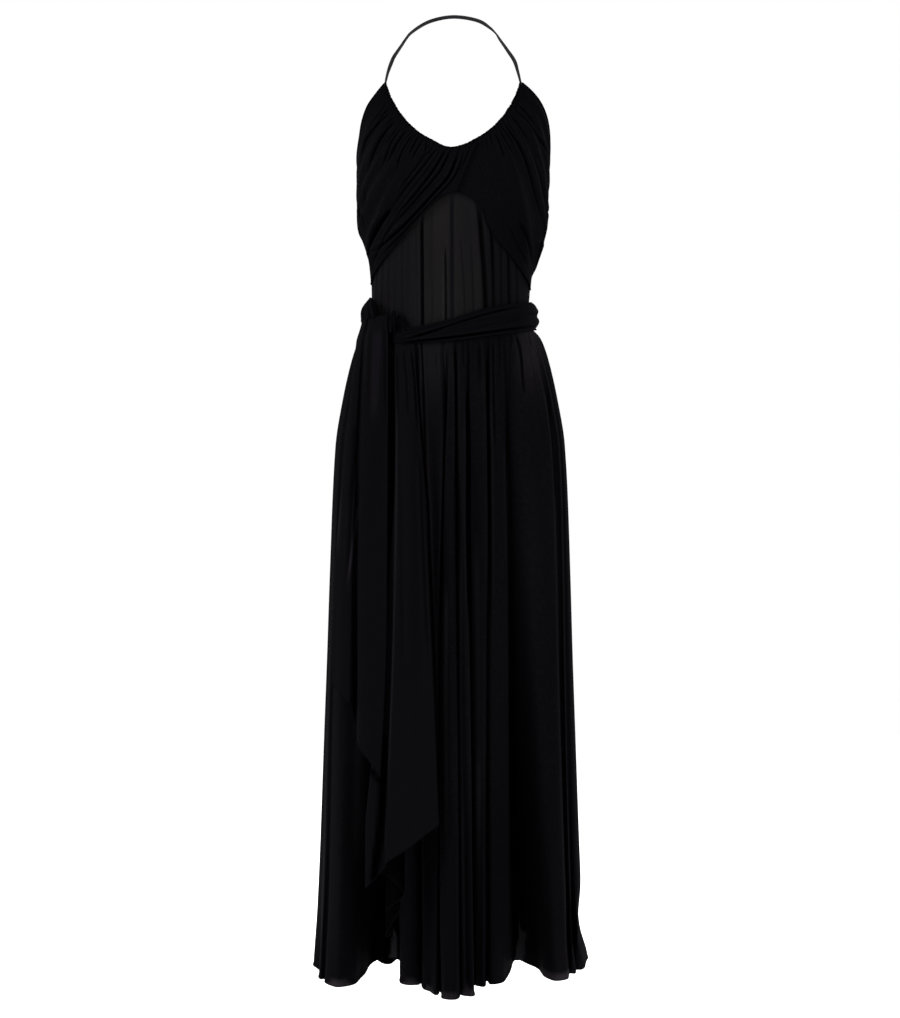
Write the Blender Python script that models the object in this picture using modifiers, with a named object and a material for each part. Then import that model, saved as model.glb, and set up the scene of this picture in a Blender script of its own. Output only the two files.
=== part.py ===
"""Halter maxi dress: two wrapped cups gathered on a neck tape, a see-through gathered midriff, a plain
low back, a knotted sash with two long tails and a flared skirt in deep folds.

The dress keeps the hollow form that it has when worn. +Z is up, the front faces -Y and +X is the
wearer's left. The part's origin is the middle of the neck tape at the nape, where the wearer holds it
up. The tables below are in millimetres: heights count down from the nape, and X and Y from the plumb
line through the waist.
"""

import math

import bpy
import numpy as np

MM = 0.001
NAPE = np.array((5.0, 45.0, 0.0))

WALL = 1.5
SEAM = 0.4
BACK_SEAM = 1.6
SIDE_ANGLE = 96.0

# The figure inside the cups, midriff and back.
TORSO = (
    # height, half breadth, front, back, X of its middle
    (-100, 154, 62, 70, 5),
    (-165, 147, 90, 84, 5),
    (-205, 142, 108, 92, 5),
    (-245, 140, 119, 95, 4),
    (-280, 139, 119, 94, 3),
    (-325, 137, 108, 90, 3),
    (-352, 130, 99, 86, 3),
    (-385, 121, 91, 82, 2),
    (-425, 116, 86, 81, 1),
    (-465, 117, 87, 84, 0),
    (-500, 122, 90, 88, 0),
)
BUST = {"across": 70, "height": -266, "width": 40, "tall": 50, "rise": 9}

# The outermost ring of the skirt at each height, which its ridges reach.
SKIRT = (
    # height, half breadth, front, back
    (-455, 119, 89, 87),
    (-475, 125, 92, 90),
    (-492, 138, 97, 96),
    (-528, 150, 104, 104),
    (-590, 162, 113, 116),
    (-655, 171, 120, 126),
    (-850, 180, 136, 142),
    (-1000, 185, 148, 156),
    (-1250, 195, 169, 180),
    (-1451, 207, 188, 206),
)
HEM = -1451
LOWEST_HEM = -1456
CLOTH_LENGTH = 985
FOLD_GROWTH = 1.4
FRONT_LINES = (
    # x at waist, x at hip, x at knee, x at hem, y at hem, crease at the hip
    (-119, -170, -184, -206, 100, 0),
    (-112, -163, -178, -197, 36, 0),
    (-103, -148, -160, -169, -59, 0),
    (-93, -128, -139, -146, -27, 4),
    (-84, -110, -120, -124, 45, 6),
    (-72, -92, -100, -100, 80, 8),
    (-62, -76, -80, -73, -6, 6),
    (-52, -58, -58, -54, -27, 0),
    (-40, -43, -43, -42, 0, 7),
    (-26, -26, -29, -28, -113, 0),
    (-9, -7, -15, -15, -90, 8),
    (-1, 1, -2, -1, -188, 0),
    (7, 9, 11, 12, -70, 8),
    (15, 17, 20, 23, -147, 0),
    (24, 26, 31, 36, -30, 9),
    (37, 41, 43, 46, -56, 0),
    (50, 57, 55, 58, -22, 9),
    (61, 67, 68, 72, -12, 0),
    (70, 78, 83, 86, 27, 2),
    (79, 88, 95, 108, 106, 6),
    (88, 108, 118, 131, 88, 0),
    (97, 133, 142, 147, 8, 0),
    (104, 150, 158, 168, -4, 0),
    (109, 157, 167, 181, 70, 7),
    (114, 163, 177, 193, 92, 0),
    (119, 170, 184, 206, 130, 0),
)
BACK_LINES = (
    (110, 160, 174, 196, 166, 0),
    (101, 146, 156, 166, 138, 6),
    (90, 126, 134, 140, 196, 0),
    (74, 102, 106, 108, 158, 7),
    (58, 76, 76, 76, 208, 0),
    (40, 48, 44, 42, 160, 8),
    (22, 20, 10, 6, 212, 0),
    (2, -8, -22, -30, 164, 8),
    (-18, -34, -50, -64, 206, 0),
    (-40, -64, -84, -98, 158, 8),
    (-64, -96, -116, -132, 198, 0),
    (-86, -126, -142, -158, 146, 7),
    (-104, -152, -173, -195, 156, 0),
)
LINE_HEIGHTS = (-470, -655, -1000, -1451)
CREASE_SHARE = 0.2
CREASE_SPREAD = 0.22
CREASE_START = 0.06
SKIRT_SHARES = (0.0, 0.02, 0.04, 0.08, 0.14, 0.22, 0.31, 0.42, 0.55, 0.69, 0.84, 1.0)
SKIRT_SEAM = 0.7
WAIST_SEAM = 1.0
SPANS = 3

# The waist seam runs under the middle of the sash, which dips on the wearer's right front below the knot.
SASH = (
    # angle from the front towards +X, height of its middle, height of the band
    (-180, -452, 40),
    (-95, -454, 36),
    (-62, -462, 34),
    (-50, -470, 38),
    (-36, -479, 40),
    (-28, -491, 25),
    (-2, -484, 32),
    (28, -470, 41),
    (72, -459, 42),
    (110, -455, 42),
    (180, -452, 40),
)
SASH_COLUMNS = 60
SASH_WAIST = (119, 89)
SASH_CLEAR = 4.1
SASH_PROFILE = (
    # share of the band's height from the top, how far its face stands out
    (0.0, 3.0),
    (0.12, 9.0),
    (0.34, 13.5),
    (0.5, 12.0),
    (0.7, 15.0),
    (0.9, 11.0),
    (1.0, 5.0),
)

# The neckline and armhole of one side, and the cups' lower edges: X or angle from the front, then height.
MIDDLE = 4.0
NECKLINE = ((0, -219), (27, -211), (46, -197), (66, -178), (82, -159), (91, -139), (96, -117))
ARMHOLE_ANGLES = (
    (44.0, -119),
    (50.5, -134),
    (59.0, -151),
    (68.5, -171),
    (77.0, -195),
    (86.0, -215),
    (96.0, -236),
)
LOWER_RIGHT = ((10, -283), (-8, -290), (-34, -312), (-77, -356), (-104, -387), (-116, -409))
LOWER_LEFT = ((10, -283), (36, -296), (64, -346), (91, -376), (110, -402), (118, -417))
SIDE_END = {"right": -409, "left": -417}
OVERLAP_TOP = (38, -208)
UNDERLAP_TOP = (-6, -219)
UNDERLAP_FOOT = (-2, -281)
CUP_ROWS = 12
CUP_LIFT = 3.6
CUP_FOLDS_RIGHT = (
    # share of the way round at the neckline, at the lower edge, half width, height, start, end
    (0.05, 0.10, 0.035, 3.0, 0.05, 1.0),
    (0.16, 0.30, 0.045, 5.0, 0.0, 1.0),
    (0.27, 0.47, 0.050, 6.5, 0.0, 1.0),
    (0.38, 0.59, 0.045, 5.5, 0.0, 1.0),
    (0.50, 0.70, 0.045, 5.0, 0.0, 0.95),
    (0.66, 0.82, 0.050, 4.0, 0.0, 0.9),
    (0.82, 0.92, 0.050, 3.0, 0.0, 0.9),
)
CUP_FOLDS_LEFT = (
    # the same columns
    (0.22, 0.18, 0.045, 3.5, 0.1, 1.0),
    (0.40, 0.36, 0.050, 5.0, 0.0, 1.0),
    (0.56, 0.52, 0.050, 5.5, 0.0, 1.0),
    (0.70, 0.66, 0.050, 5.0, 0.0, 1.0),
    (0.83, 0.80, 0.050, 4.5, 0.0, 0.95),
    (0.93, 0.93, 0.040, 3.5, 0.0, 0.9),
)
CUP_COLUMNS = {"right": 44, "left": 38}
FOLD_SWELL = (0.4, 0.25)
FOLD_FADE = 0.3
GATHER = 1.1
GATHER_LENGTH = 0.62
UNDERLAP = {"lift": 2.6, "share": 0.22, "blend": 0.12}
OVERLAP = {"lift": 3.6, "share": 0.3}

MIDRIFF_COLUMNS = 42
MIDRIFF_ROWS = 6
MIDRIFF_GATHER = 0.9
MIDRIFF_TUCK = 0.8
MIDRIFF_TUCK_LENGTH = 0.25
MIDRIFF_FLAT_COLUMNS = 3
MIDRIFF_UNDER_CUPS = 5
BACK_COLUMNS = 26
BACK_ROWS = 5
BACK_TOP = ((96, -238), (115, -262), (140, -300), (165, -326), (180, -330))
BACK_LIFT = ((-456, 0.3), (-415, 0.6), (-380, 3.0), (-238, 3.4))

STRAP_WIDTH = 5.5
STRAP_THICK = 1.6
STRAP_ROUTE = (
    # x, y, height, turn of the tape in degrees
    (-89, -45, -84, 70),
    (-78, -26, -58, 95),
    (-61, -3, -35, 70),
    (-30, 32, -9, 95),
    (5, 45, 0, 90),
    (42, 32, -8, 85),
    (68, 2, -31, 110),
    (88, -32, -68, 80),
    (99, -46, -87, 40),
)
STRAP_SPANS = 5
STRAP_GAP = 0.5

# The surface that the tails hang on: the sash at the top, then just clear of the skirt's ridges.
DRAPE = (
    # height, half breadth, front
    (-440, 138, 108),
    (-478, 139, 108),
    (-500, 145, 111),
    (-560, 164, 119),
    (-655, 179, 128),
    (-850, 188, 144),
    (-1000, 193, 156),
    (-1250, 203, 177),
    (-1451, 215, 196),
)
TAIL_HEIGHTS = (-500, -655, -907, -1200)
TAIL_FRONT_LINES = (
    # x at sash, hip, knee and low end, how far behind the front layer at the low end, height of its end
    (-50, -37, -28, -16, 0, -1201),
    (-57, -46, -42, -36, 5, -1216),
    (-66, -60, -60, -62, 0, -1236),
    (-83, -83, -87, -98, 0, -1261),
    (-84, -84, -89, -102, 15, -1266),
    (-87, -88, -101, -126, 19, -1297),
    (-80, -80, -90, -106, 29, -1276),
    (-62, -60, -66, -68, 34, -1292),
    (-70, -70, -78, -92, 46, -1320),
    (-66, -66, -74, -80, 52, -1352),
)
TAIL_SIDE_LINES = (
    (-91, -91, -92, -104, 0, -1135),
    (-103, -108, -112, -116, -5, -1114),
    (-119, -129, -134, -133, 2, -1093),
    (-123, -134, -140, -141, 18, -1062),
    (-127, -139, -146, -147, 16, -1031),
    (-131, -146, -159, -161, 4, -1020),
    (-134, -154, -174, -176, 8, -1003),
)
TAIL_ROWS = {"front": 14, "side": 12}
SIDE_TAIL_TOP = -466
FRONT_TAIL_GAP = 1.5
TAIL_SPANS = 2
TAIL_CLOSED = 0.1

KNOTS = {
    # name: x from, x to, top, bottom, pleats
    "knot_hump": (-125, -101, -439, -464, 3),
    "knot_loop": (-89, -75, -452, -488, 2),
}
KNOT_PROFILE = (
    # share of the way down, how far it stands out from where the tails hang
    (0.0, -9.0),
    (0.1, -3.0),
    (0.26, 3.5),
    (0.5, 7.0),
    (0.75, 5.5),
    (1.0, 1.5),
)
KNOT_PLEAT = 1.2

CLOTH_BLACK = (0.0049, 0.0044, 0.0058)
SHEER_GREY = (0.0110, 0.0103, 0.0110)
CLOTH_ROUGHNESS = 0.6


def clear_scene():
    for thing in list(bpy.data.objects):
        bpy.data.objects.remove(thing, do_unlink=True)


def cloth(name, colour):
    material = bpy.data.materials.new(name)
    material.use_nodes = True
    shader = material.node_tree.nodes["Principled BSDF"]
    shader.inputs["Base Color"].default_value = (*colour, 1.0)
    shader.inputs["Roughness"].default_value = CLOTH_ROUGHNESS
    shader.inputs["Metallic"].default_value = 0.0
    return material


def smooth(table, column, at):
    """One column of a table whose first column is a height or an angle, read at `at` by a monotone cubic."""
    rows = sorted((row[0], row[column]) for row in table)
    knots = np.array([row[0] for row in rows], float)
    values = np.array([row[1] for row in rows], float)
    gap = np.diff(knots)
    slope = np.diff(values) / gap
    tangent = np.concatenate((slope[:1], np.zeros(len(slope) - 1), slope[-1:]))
    for i in range(1, len(slope)):
        if slope[i - 1] * slope[i] > 0:
            tangent[i] = 2 * slope[i - 1] * slope[i] / (slope[i - 1] + slope[i])
    at = np.clip(at, knots[0], knots[-1])
    cell = np.clip(np.searchsorted(knots, at) - 1, 0, len(gap) - 1)
    t = (at - knots[cell]) / gap[cell]
    start = values[cell] * (1 + 2 * t) * (1 - t) ** 2 + values[cell + 1] * t * t * (3 - 2 * t)
    return start + gap[cell] * (tangent[cell] * t * (1 - t) ** 2 + tangent[cell + 1] * t * t * (t - 1))


def curve_through(points, spans, closed=False):
    """A centripetal Catmull-Rom curve through the points, with `spans` steps from each to the next."""
    points = [np.asarray(point, float) for point in points]
    if closed:
        padded = [points[-1], *points, points[0], points[1]]
    else:
        padded = [2 * points[0] - points[1], *points, 2 * points[-1] - points[-2]]
    curve = []
    for a, b, c, d in zip(padded, padded[1:], padded[2:], padded[3:]):
        tb = math.sqrt(np.linalg.norm(b - a))
        tc = tb + math.sqrt(np.linalg.norm(c - b))
        td = tc + math.sqrt(np.linalg.norm(d - c))
        for i in range(spans):
            t = tb + (tc - tb) * i / spans
            ab = a + (b - a) * t / tb
            bc = b + (c - b) * (t - tb) / (tc - tb)
            cd = c + (d - c) * (t - tc) / (td - tc)
            abc = ab + (bc - ab) * t / tc
            bcd = bc + (cd - bc) * (t - tb) / (td - tb)
            curve.append(abc + (bcd - abc) * (t - tb) / (tc - tb))
    if not closed:
        curve.append(points[-1])
    return np.array(curve)


def along(points, share):
    """The point at this share of the length of a line through the points."""
    points = np.asarray(points, float)
    lengths = np.concatenate(([0.0], np.cumsum(np.linalg.norm(np.diff(points, axis=0), axis=1))))
    want = share * lengths[-1]
    return np.array([np.interp(want, lengths, points[:, i]) for i in range(points.shape[1])])


def sheet(name, grid, material, collection, thick=WALL, ring=False):
    """A wall of cloth: a grid of outer points in millimetres, rows running down, made solid inwards."""
    grid = (np.asarray(grid) - NAPE) * MM
    rows, columns = grid.shape[:2]
    last = columns if ring else columns - 1
    faces = []
    for r in range(rows - 1):
        for c in range(last):
            here, beside = r * columns + c, r * columns + (c + 1) % columns
            faces.append((here, here + columns, beside + columns, beside))
    mesh = bpy.data.meshes.new(name)
    mesh.from_pydata(grid.reshape(-1, 3).tolist(), [], faces)
    mesh.materials.append(material)
    piece = bpy.data.objects.new(name, mesh)
    collection.objects.link(piece)
    wall = piece.modifiers.new("Wall", "SOLIDIFY")
    wall.thickness = thick * MM
    wall.offset = -1.0
    mesh.shade_smooth()
    return piece


def torso_point(angle, height, lift):
    """A point on the figure at this angle from the front towards +X, stood out by `lift`."""
    turn = math.radians(angle)
    half = smooth(TORSO, 1, height) + lift
    depth = smooth(TORSO, 2 if abs(angle) < 90 else 3, height) + lift
    x = smooth(TORSO, 4, height) + half * math.sin(turn)
    y = -depth * math.cos(turn)
    if y < 0:
        away = ((abs(x - MIDDLE) - BUST["across"]) / BUST["width"]) ** 2
        away += ((height - BUST["height"]) / BUST["tall"]) ** 2
        y -= BUST["rise"] * math.exp(-away)
    return np.array((x, y, height))


def angle_at(x, height):
    """The angle on the figure's front at which it has this X."""
    share = (x - smooth(TORSO, 4, height)) / smooth(TORSO, 1, height)
    return math.degrees(math.asin(max(-1.0, min(1.0, share))))


def seam_height(angle):
    """The height of the waist seam, and so of the middle of the sash, at an angle from the front."""
    return float(smooth(SASH, 1, angle))


def ring_y(side, x, height):
    """Y on the skirt's outermost ring at this X: side 2 of the table is its front and side 3 its back."""
    share = x / (smooth(SKIRT, 1, height) + 1)
    y = smooth(SKIRT, side, height) * math.sqrt(max(0.0, 1 - share**2))
    return y if side == 3 else -y


def skirt_line(line, at):
    """X and Y of one ridge or valley of the skirt at a height."""
    *x_at, y_hem, crease = line
    shares = [(height, x / smooth(SKIRT, 1, height)) for height, x in zip(LINE_HEIGHTS, x_at)]
    x = float(smooth(shares, 1, at) * smooth(SKIRT, 1, at))
    side = 3 if line in BACK_LINES else 2
    down = max(0.0, (LINE_HEIGHTS[0] - at) / (LINE_HEIGHTS[0] - HEM))
    inward = 1 if side == 2 else -1
    pinch = crease * math.exp(-(((down - CREASE_SHARE) / CREASE_SPREAD) ** 2))
    pinch *= 1 - math.exp(-((down / CREASE_START) ** 2))
    y = ring_y(side, x, at) + inward * pinch + (y_hem - ring_y(side, x_at[-1], HEM)) * down**FOLD_GROWTH
    return np.array((x, y))


def skirt_ring(share):
    """The skirt's key points at this share of the way from the waist seam to the hem, all the way round."""
    ring = []
    for line in FRONT_LINES + BACK_LINES:
        top = skirt_line(line, LINE_HEIGHTS[0])
        low = skirt_line(line, HEM)
        start = seam_height(math.degrees(math.atan2(top[0], -top[1]))) - WAIST_SEAM
        end = LOWEST_HEM + CLOTH_LENGTH - math.sqrt(CLOTH_LENGTH**2 - float(np.sum((low - top) ** 2)))
        nominal = start + (HEM - start) * share
        x, y = skirt_line(line, nominal)
        ring.append((x, y, start + (end - start) * share))
    return ring


def draw_in(row, gap):
    """Pulls both ends of a row in along it by half a seam gap."""
    row = np.array(row)
    for end, inner in ((0, 1), (-1, -2)):
        way = row[inner] - row[end]
        row[end] += way / np.linalg.norm(way) * gap / 2
    return row


def make_skirt(collection, black):
    """Rings of points through the ridges and valleys, split at the side seams into a front and a back."""
    front, back = [], []
    side = (len(FRONT_LINES) - 1) * SPANS
    for share in SKIRT_SHARES:
        ring = curve_through(skirt_ring(share), SPANS, closed=True)
        front.append(draw_in(ring[: side + 1], SKIRT_SEAM))
        back.append(draw_in(np.concatenate((ring[side:], ring[:1])), SKIRT_SEAM))
    sheet("skirt_front", front, black, collection)
    sheet("skirt_back", back, black, collection)


def coons(top, bottom, left, right, across, down):
    """A point of the patch between four edges, each a list of points read by its share."""
    from_ends = (1 - down) * along(top, across) + down * along(bottom, across)
    from_sides = (1 - across) * along(left, down) + across * along(right, down)
    corners = (1 - down) * ((1 - across) * np.array(top[0]) + across * np.array(top[-1]))
    corners = corners + down * ((1 - across) * np.array(bottom[0]) + across * np.array(bottom[-1]))
    return from_ends + from_sides - corners


def fold_height(folds, across, down):
    """How far the long soft folds stand out at a place on a cup."""
    rise = 0.0
    for at_top, at_bottom, width, height, start, end in folds:
        middle = at_top + (at_bottom - at_top) * down
        swell = np.clip(FOLD_SWELL[0] + (down - start) / FOLD_SWELL[1], 0, 1)
        fade = np.clip((end - down) / FOLD_FADE, 0, 1)
        rise += height * swell * fade * math.exp(-(((across - middle) / width) ** 2))
    return rise


def make_cup(side, folds, collection, black):
    """Corners in angle and height: centre neck, tip, side seam top, side seam foot and centre foot."""
    way = -1 if side == "right" else 1
    neck = [(angle_at(MIDDLE + way * x, z), z) for x, z in NECKLINE]
    start = OVERLAP_TOP if side == "right" else UNDERLAP_TOP
    neck[0] = (angle_at(*start), start[1])
    if side == "right":
        neck.insert(1, (angle_at(MIDDLE, NECKLINE[0][1]), NECKLINE[0][1]))
    armhole = [(way * angle, z) for angle, z in ARMHOLE_ANGLES]
    lower = [(angle_at(x, z), z) for x, z in (LOWER_RIGHT if side == "right" else LOWER_LEFT)]
    foot = (way * SIDE_ANGLE, SIDE_END[side])
    bottom = [*lower, foot, armhole[-1]]
    if side == "left":
        bottom[0] = (angle_at(*UNDERLAP_FOOT), UNDERLAP_FOOT[1])
    centre = [neck[0], bottom[0]]
    tip = [neck[-1], *armhole]
    columns = CUP_COLUMNS[side]
    grid = []
    for r in range(CUP_ROWS + 1):
        down = r / CUP_ROWS
        row = []
        for c in range(columns + 1):
            across = c / columns
            angle, height = coons(neck, bottom, centre, tip, across, down)
            lift = CUP_LIFT + fold_height(folds, across, down)
            lift += (GATHER if c % 2 else -GATHER) * max(0.0, 1 - down / GATHER_LENGTH)
            if side == "left":
                free = np.clip((across - UNDERLAP["share"]) / UNDERLAP["blend"], 0, 1)
                lift = UNDERLAP["lift"] + (lift - UNDERLAP["lift"]) * free
            else:
                lift += OVERLAP["lift"] * max(0.0, 1 - across / OVERLAP["share"])
            row.append(torso_point(angle, height, lift))
        grid.append(row if side == "left" else row[::-1])
    sheet(f"cup_{side}", grid, black, collection)


def make_midriff(collection, sheer):
    """The front between the cups' lower edges, which it meets from inside, and the waist seam."""
    top = [(angle_at(x, z), z + MIDRIFF_UNDER_CUPS) for x, z in reversed(LOWER_RIGHT)]
    top += [(angle_at(x, z), z + MIDRIFF_UNDER_CUPS) for x, z in LOWER_LEFT[1:]]
    top = [(-SIDE_ANGLE, SIDE_END["right"] - 1), *top[1:-1], (SIDE_ANGLE, SIDE_END["left"] - 1)]
    grid = []
    for r in range(MIDRIFF_ROWS + 1):
        down = r / MIDRIFF_ROWS
        row = []
        for c in range(MIDRIFF_COLUMNS + 1):
            share = c / MIDRIFF_COLUMNS
            angle, high = along(top, share)
            low_angle = -SIDE_ANGLE + 2 * SIDE_ANGLE * share
            low = seam_height(low_angle)
            at = angle + (low_angle - angle) * down
            under = max(0.0, 1 - down / MIDRIFF_TUCK_LENGTH)
            edge = min(1.0, min(c, MIDRIFF_COLUMNS - c) / MIDRIFF_FLAT_COLUMNS)
            lift = (MIDRIFF_GATHER if c % 2 else -MIDRIFF_GATHER) * edge * (1 - under)
            row.append(torso_point(at, high + (low - high) * down, lift - MIDRIFF_TUCK * under))
        grid.append(draw_in(row, SEAM))
    sheet("midriff_front", grid, sheer, collection)


def make_back(collection, black):
    """The low back, from the left side seam round to the right one, plain and smooth."""
    grid = []
    for r in range(BACK_ROWS + 1):
        row = []
        for c in range(BACK_COLUMNS + 1):
            angle = SIDE_ANGLE + (360 - 2 * SIDE_ANGLE) * c / BACK_COLUMNS
            signed = angle if angle <= 180 else angle - 360
            top = float(smooth(BACK_TOP, 1, abs(signed)))
            height = top + (seam_height(signed) - top) * r / BACK_ROWS
            row.append(torso_point(signed, height, float(smooth(BACK_LIFT, 1, height))))
        grid.append(draw_in(row, BACK_SEAM))
    sheet("bodice_back", grid, black, collection)


def make_sash(collection, black):
    """The band: rings round the waist, one for each row of its profile, kept just clear of the skirt."""
    grid = []
    for share, stand in SASH_PROFILE:
        row = []
        for c in range(SASH_COLUMNS):
            angle = -180 + 360 * c / SASH_COLUMNS
            middle = seam_height(angle)
            tall = float(smooth(SASH, 2, angle))
            height = middle + tall * (0.5 - share)
            turn = math.radians(angle)
            side = 2 if abs(angle) < 90 else 3
            half = max(SASH_WAIST[0] + stand, smooth(SKIRT, 1, height) + SASH_CLEAR)
            depth = max(SASH_WAIST[1] + stand, smooth(SKIRT, side, height) + SASH_CLEAR)
            row.append((half * math.sin(turn), -depth * math.cos(turn), height))
        grid.append(row)
    sheet("sash_band", grid, black, collection, ring=True)


def drape_y(x, height, lift=0.0):
    """Y of the surface that the tails hang on, stood out by `lift`."""
    half = smooth(DRAPE, 1, height) + lift
    return -(smooth(DRAPE, 2, height) + lift) * math.sqrt(max(0.0, 1 - (x / half) ** 2))


def make_tail(name, lines, tops, rows, collection, black):
    """A hanging tail: its lines run down from the sash, and its layers part from each other lower down."""
    grid = []
    for r in range(rows + 1):
        share = r / rows
        key = []
        for line, top in zip(lines, tops):
            *x_at, behind, end = line
            height = top + (end - top) * share
            x = float(smooth(list(zip(TAIL_HEIGHTS, x_at)), 1, height))
            drop = np.clip((TAIL_HEIGHTS[0] - height) / (TAIL_HEIGHTS[0] - TAIL_HEIGHTS[-1]), 0, 1)
            parting = TAIL_CLOSED + (1 - TAIL_CLOSED) * drop
            key.append((x, drape_y(x, height) + behind * parting, height))
        grid.append(curve_through(key, TAIL_SPANS)[::-1])
    sheet(name, grid, black, collection)


def make_tails(collection, black):
    """The front tail starts just under the band's lower edge, and the side tail over the band."""
    tops = []
    for line in TAIL_FRONT_LINES:
        angle = math.degrees(math.asin(line[0] / smooth(DRAPE, 1, TAIL_HEIGHTS[0])))
        tops.append(seam_height(angle) - float(smooth(SASH, 2, angle)) / 2 - FRONT_TAIL_GAP)
    make_tail("sash_tail_front", TAIL_FRONT_LINES, tops, TAIL_ROWS["front"], collection, black)
    tops = [SIDE_TAIL_TOP] * len(TAIL_SIDE_LINES)
    make_tail("sash_tail_side", TAIL_SIDE_LINES, tops, TAIL_ROWS["side"], collection, black)


def make_knot(collection, black):
    """Each piece of the knot arches out over the band from top to foot, in a few upright pleats."""
    for name, (x_from, x_to, top, bottom, pleats) in KNOTS.items():
        columns = pleats * 2
        grid = []
        for share, out in KNOT_PROFILE:
            height = top + (bottom - top) * share
            row = []
            for c in range(columns + 1):
                x = x_from + (x_to - x_from) * c / columns
                row.append((x, drape_y(x, height, out + (KNOT_PLEAT if c % 2 else 0.0)), height))
            grid.append(row)
        sheet(name, grid, black, collection)


def cup_tip(way):
    """The middle of a cup's narrow top edge, where the tape leaves it, with the tape lying flat there."""
    x, height = NECKLINE[-1]
    inner = torso_point(angle_at(MIDDLE + way * x, height), height, CUP_LIFT)
    outer = torso_point(way * ARMHOLE_ANGLES[0][0], ARMHOLE_ANGLES[0][1], CUP_LIFT)
    middle = (inner + outer) / 2
    return (middle[0], middle[1], max(inner[2], outer[2]) + STRAP_GAP, 0)


def make_strap(collection, black):
    """A narrow tape along its route, with its flat side turned as the tape twists."""
    stations = [cup_tip(-1), *STRAP_ROUTE, cup_tip(1)]
    route = curve_through([point[:3] for point in stations], STRAP_SPANS)
    turns = np.interp(
        np.arange(len(route)) / STRAP_SPANS, np.arange(len(stations)), [point[3] for point in stations]
    )
    grid = []
    for i, (centre, turn) in enumerate(zip(route, turns)):
        ahead = route[min(i + 1, len(route) - 1)] - route[max(i - 1, 0)]
        ahead /= np.linalg.norm(ahead)
        across = np.cross(ahead, (0.0, -1.0, 0.0))
        across /= np.linalg.norm(across)
        deep = np.cross(ahead, across)
        flat = across * math.cos(math.radians(turn)) + deep * math.sin(math.radians(turn))
        grid.append((centre + flat * STRAP_WIDTH / 2, centre - flat * STRAP_WIDTH / 2))
    sheet("neck_strap", grid, black, collection, thick=STRAP_THICK)


def main():
    clear_scene()
    dress = bpy.data.collections.new("maxi_dress")
    bpy.context.scene.collection.children.link(dress)
    black = cloth("black_chiffon", CLOTH_BLACK)
    sheer = cloth("sheer_black_chiffon", SHEER_GREY)
    make_cup("right", CUP_FOLDS_RIGHT, dress, black)
    make_cup("left", CUP_FOLDS_LEFT, dress, black)
    make_midriff(dress, sheer)
    make_back(dress, black)
    make_skirt(dress, black)
    make_strap(dress, black)
    make_sash(dress, black)
    make_knot(dress, black)
    make_tails(dress, black)


main()
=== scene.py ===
# %% [markdown]
# A halter maxi dress in black chiffon. Two cups cross over at the bust and hang from one narrow tape round
# the neck, a see-through gathered panel joins them to the waist, a sash is knotted on the wearer's right,
# and the skirt falls in deep folds to the floor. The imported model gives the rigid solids, in metres, with
# its origin at the nape. Everything below dresses those solids in finer cloth, so they are loaded first.

import math

import bpy
import numpy as np
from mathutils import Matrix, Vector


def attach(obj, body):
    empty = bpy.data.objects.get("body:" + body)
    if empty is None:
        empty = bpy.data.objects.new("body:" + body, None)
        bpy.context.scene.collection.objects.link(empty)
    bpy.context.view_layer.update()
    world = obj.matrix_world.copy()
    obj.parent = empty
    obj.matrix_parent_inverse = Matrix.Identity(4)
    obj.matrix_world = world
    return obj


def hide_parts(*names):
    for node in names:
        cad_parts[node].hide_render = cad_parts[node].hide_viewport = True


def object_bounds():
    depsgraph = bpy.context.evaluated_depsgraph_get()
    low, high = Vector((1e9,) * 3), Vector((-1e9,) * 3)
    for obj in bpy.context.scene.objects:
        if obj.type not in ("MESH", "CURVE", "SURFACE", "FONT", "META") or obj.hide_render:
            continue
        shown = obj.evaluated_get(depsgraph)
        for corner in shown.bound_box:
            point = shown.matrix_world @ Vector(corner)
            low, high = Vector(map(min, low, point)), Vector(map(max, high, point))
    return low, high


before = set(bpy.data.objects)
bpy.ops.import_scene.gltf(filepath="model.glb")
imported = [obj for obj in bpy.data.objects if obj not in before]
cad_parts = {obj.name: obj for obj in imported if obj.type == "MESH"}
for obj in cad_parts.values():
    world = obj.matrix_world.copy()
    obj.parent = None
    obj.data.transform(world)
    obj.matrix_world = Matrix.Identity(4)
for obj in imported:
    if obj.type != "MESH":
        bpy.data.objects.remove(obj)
cad_box = [list(corner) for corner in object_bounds()]
print("solids", sorted(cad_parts), "box", cad_box)

# %% [markdown]
# The dress is looked at straight from the front, level with the middle of its length, from about 4.2 m. A
# long lens keeps its sides nearly parallel, as a tailor's drawing would, and yet shows that the front hem
# hangs nearer than the back one.

# %% Camera
CAMERA_PLACE = (-0.005, -4.245, -0.746)
FRAME_HEIGHT_PIXELS = 1018
FOCAL_PIXELS = 2800
camera_data = bpy.data.cameras.new("camera")
camera_data.lens = FOCAL_PIXELS / FRAME_HEIGHT_PIXELS * camera_data.sensor_width
camera = bpy.data.objects.new("camera", camera_data)
camera.location = CAMERA_PLACE
camera.rotation_euler = (math.radians(90), 0, 0)
bpy.context.scene.collection.objects.link(camera)
bpy.context.scene.camera = camera
print("lens", round(camera_data.lens, 1), "mm")

# %% [markdown]
# A black dress shows its folds only by what it reflects, so the studio is bright all round: a white world,
# a pale floor that is lit up to white, and large soft boxes well out to both sides. They rake across the
# folds, so each ridge has a lit flank and each valley stays dark. The left box is the stronger. Two more
# behind do the same for the back.

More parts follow.
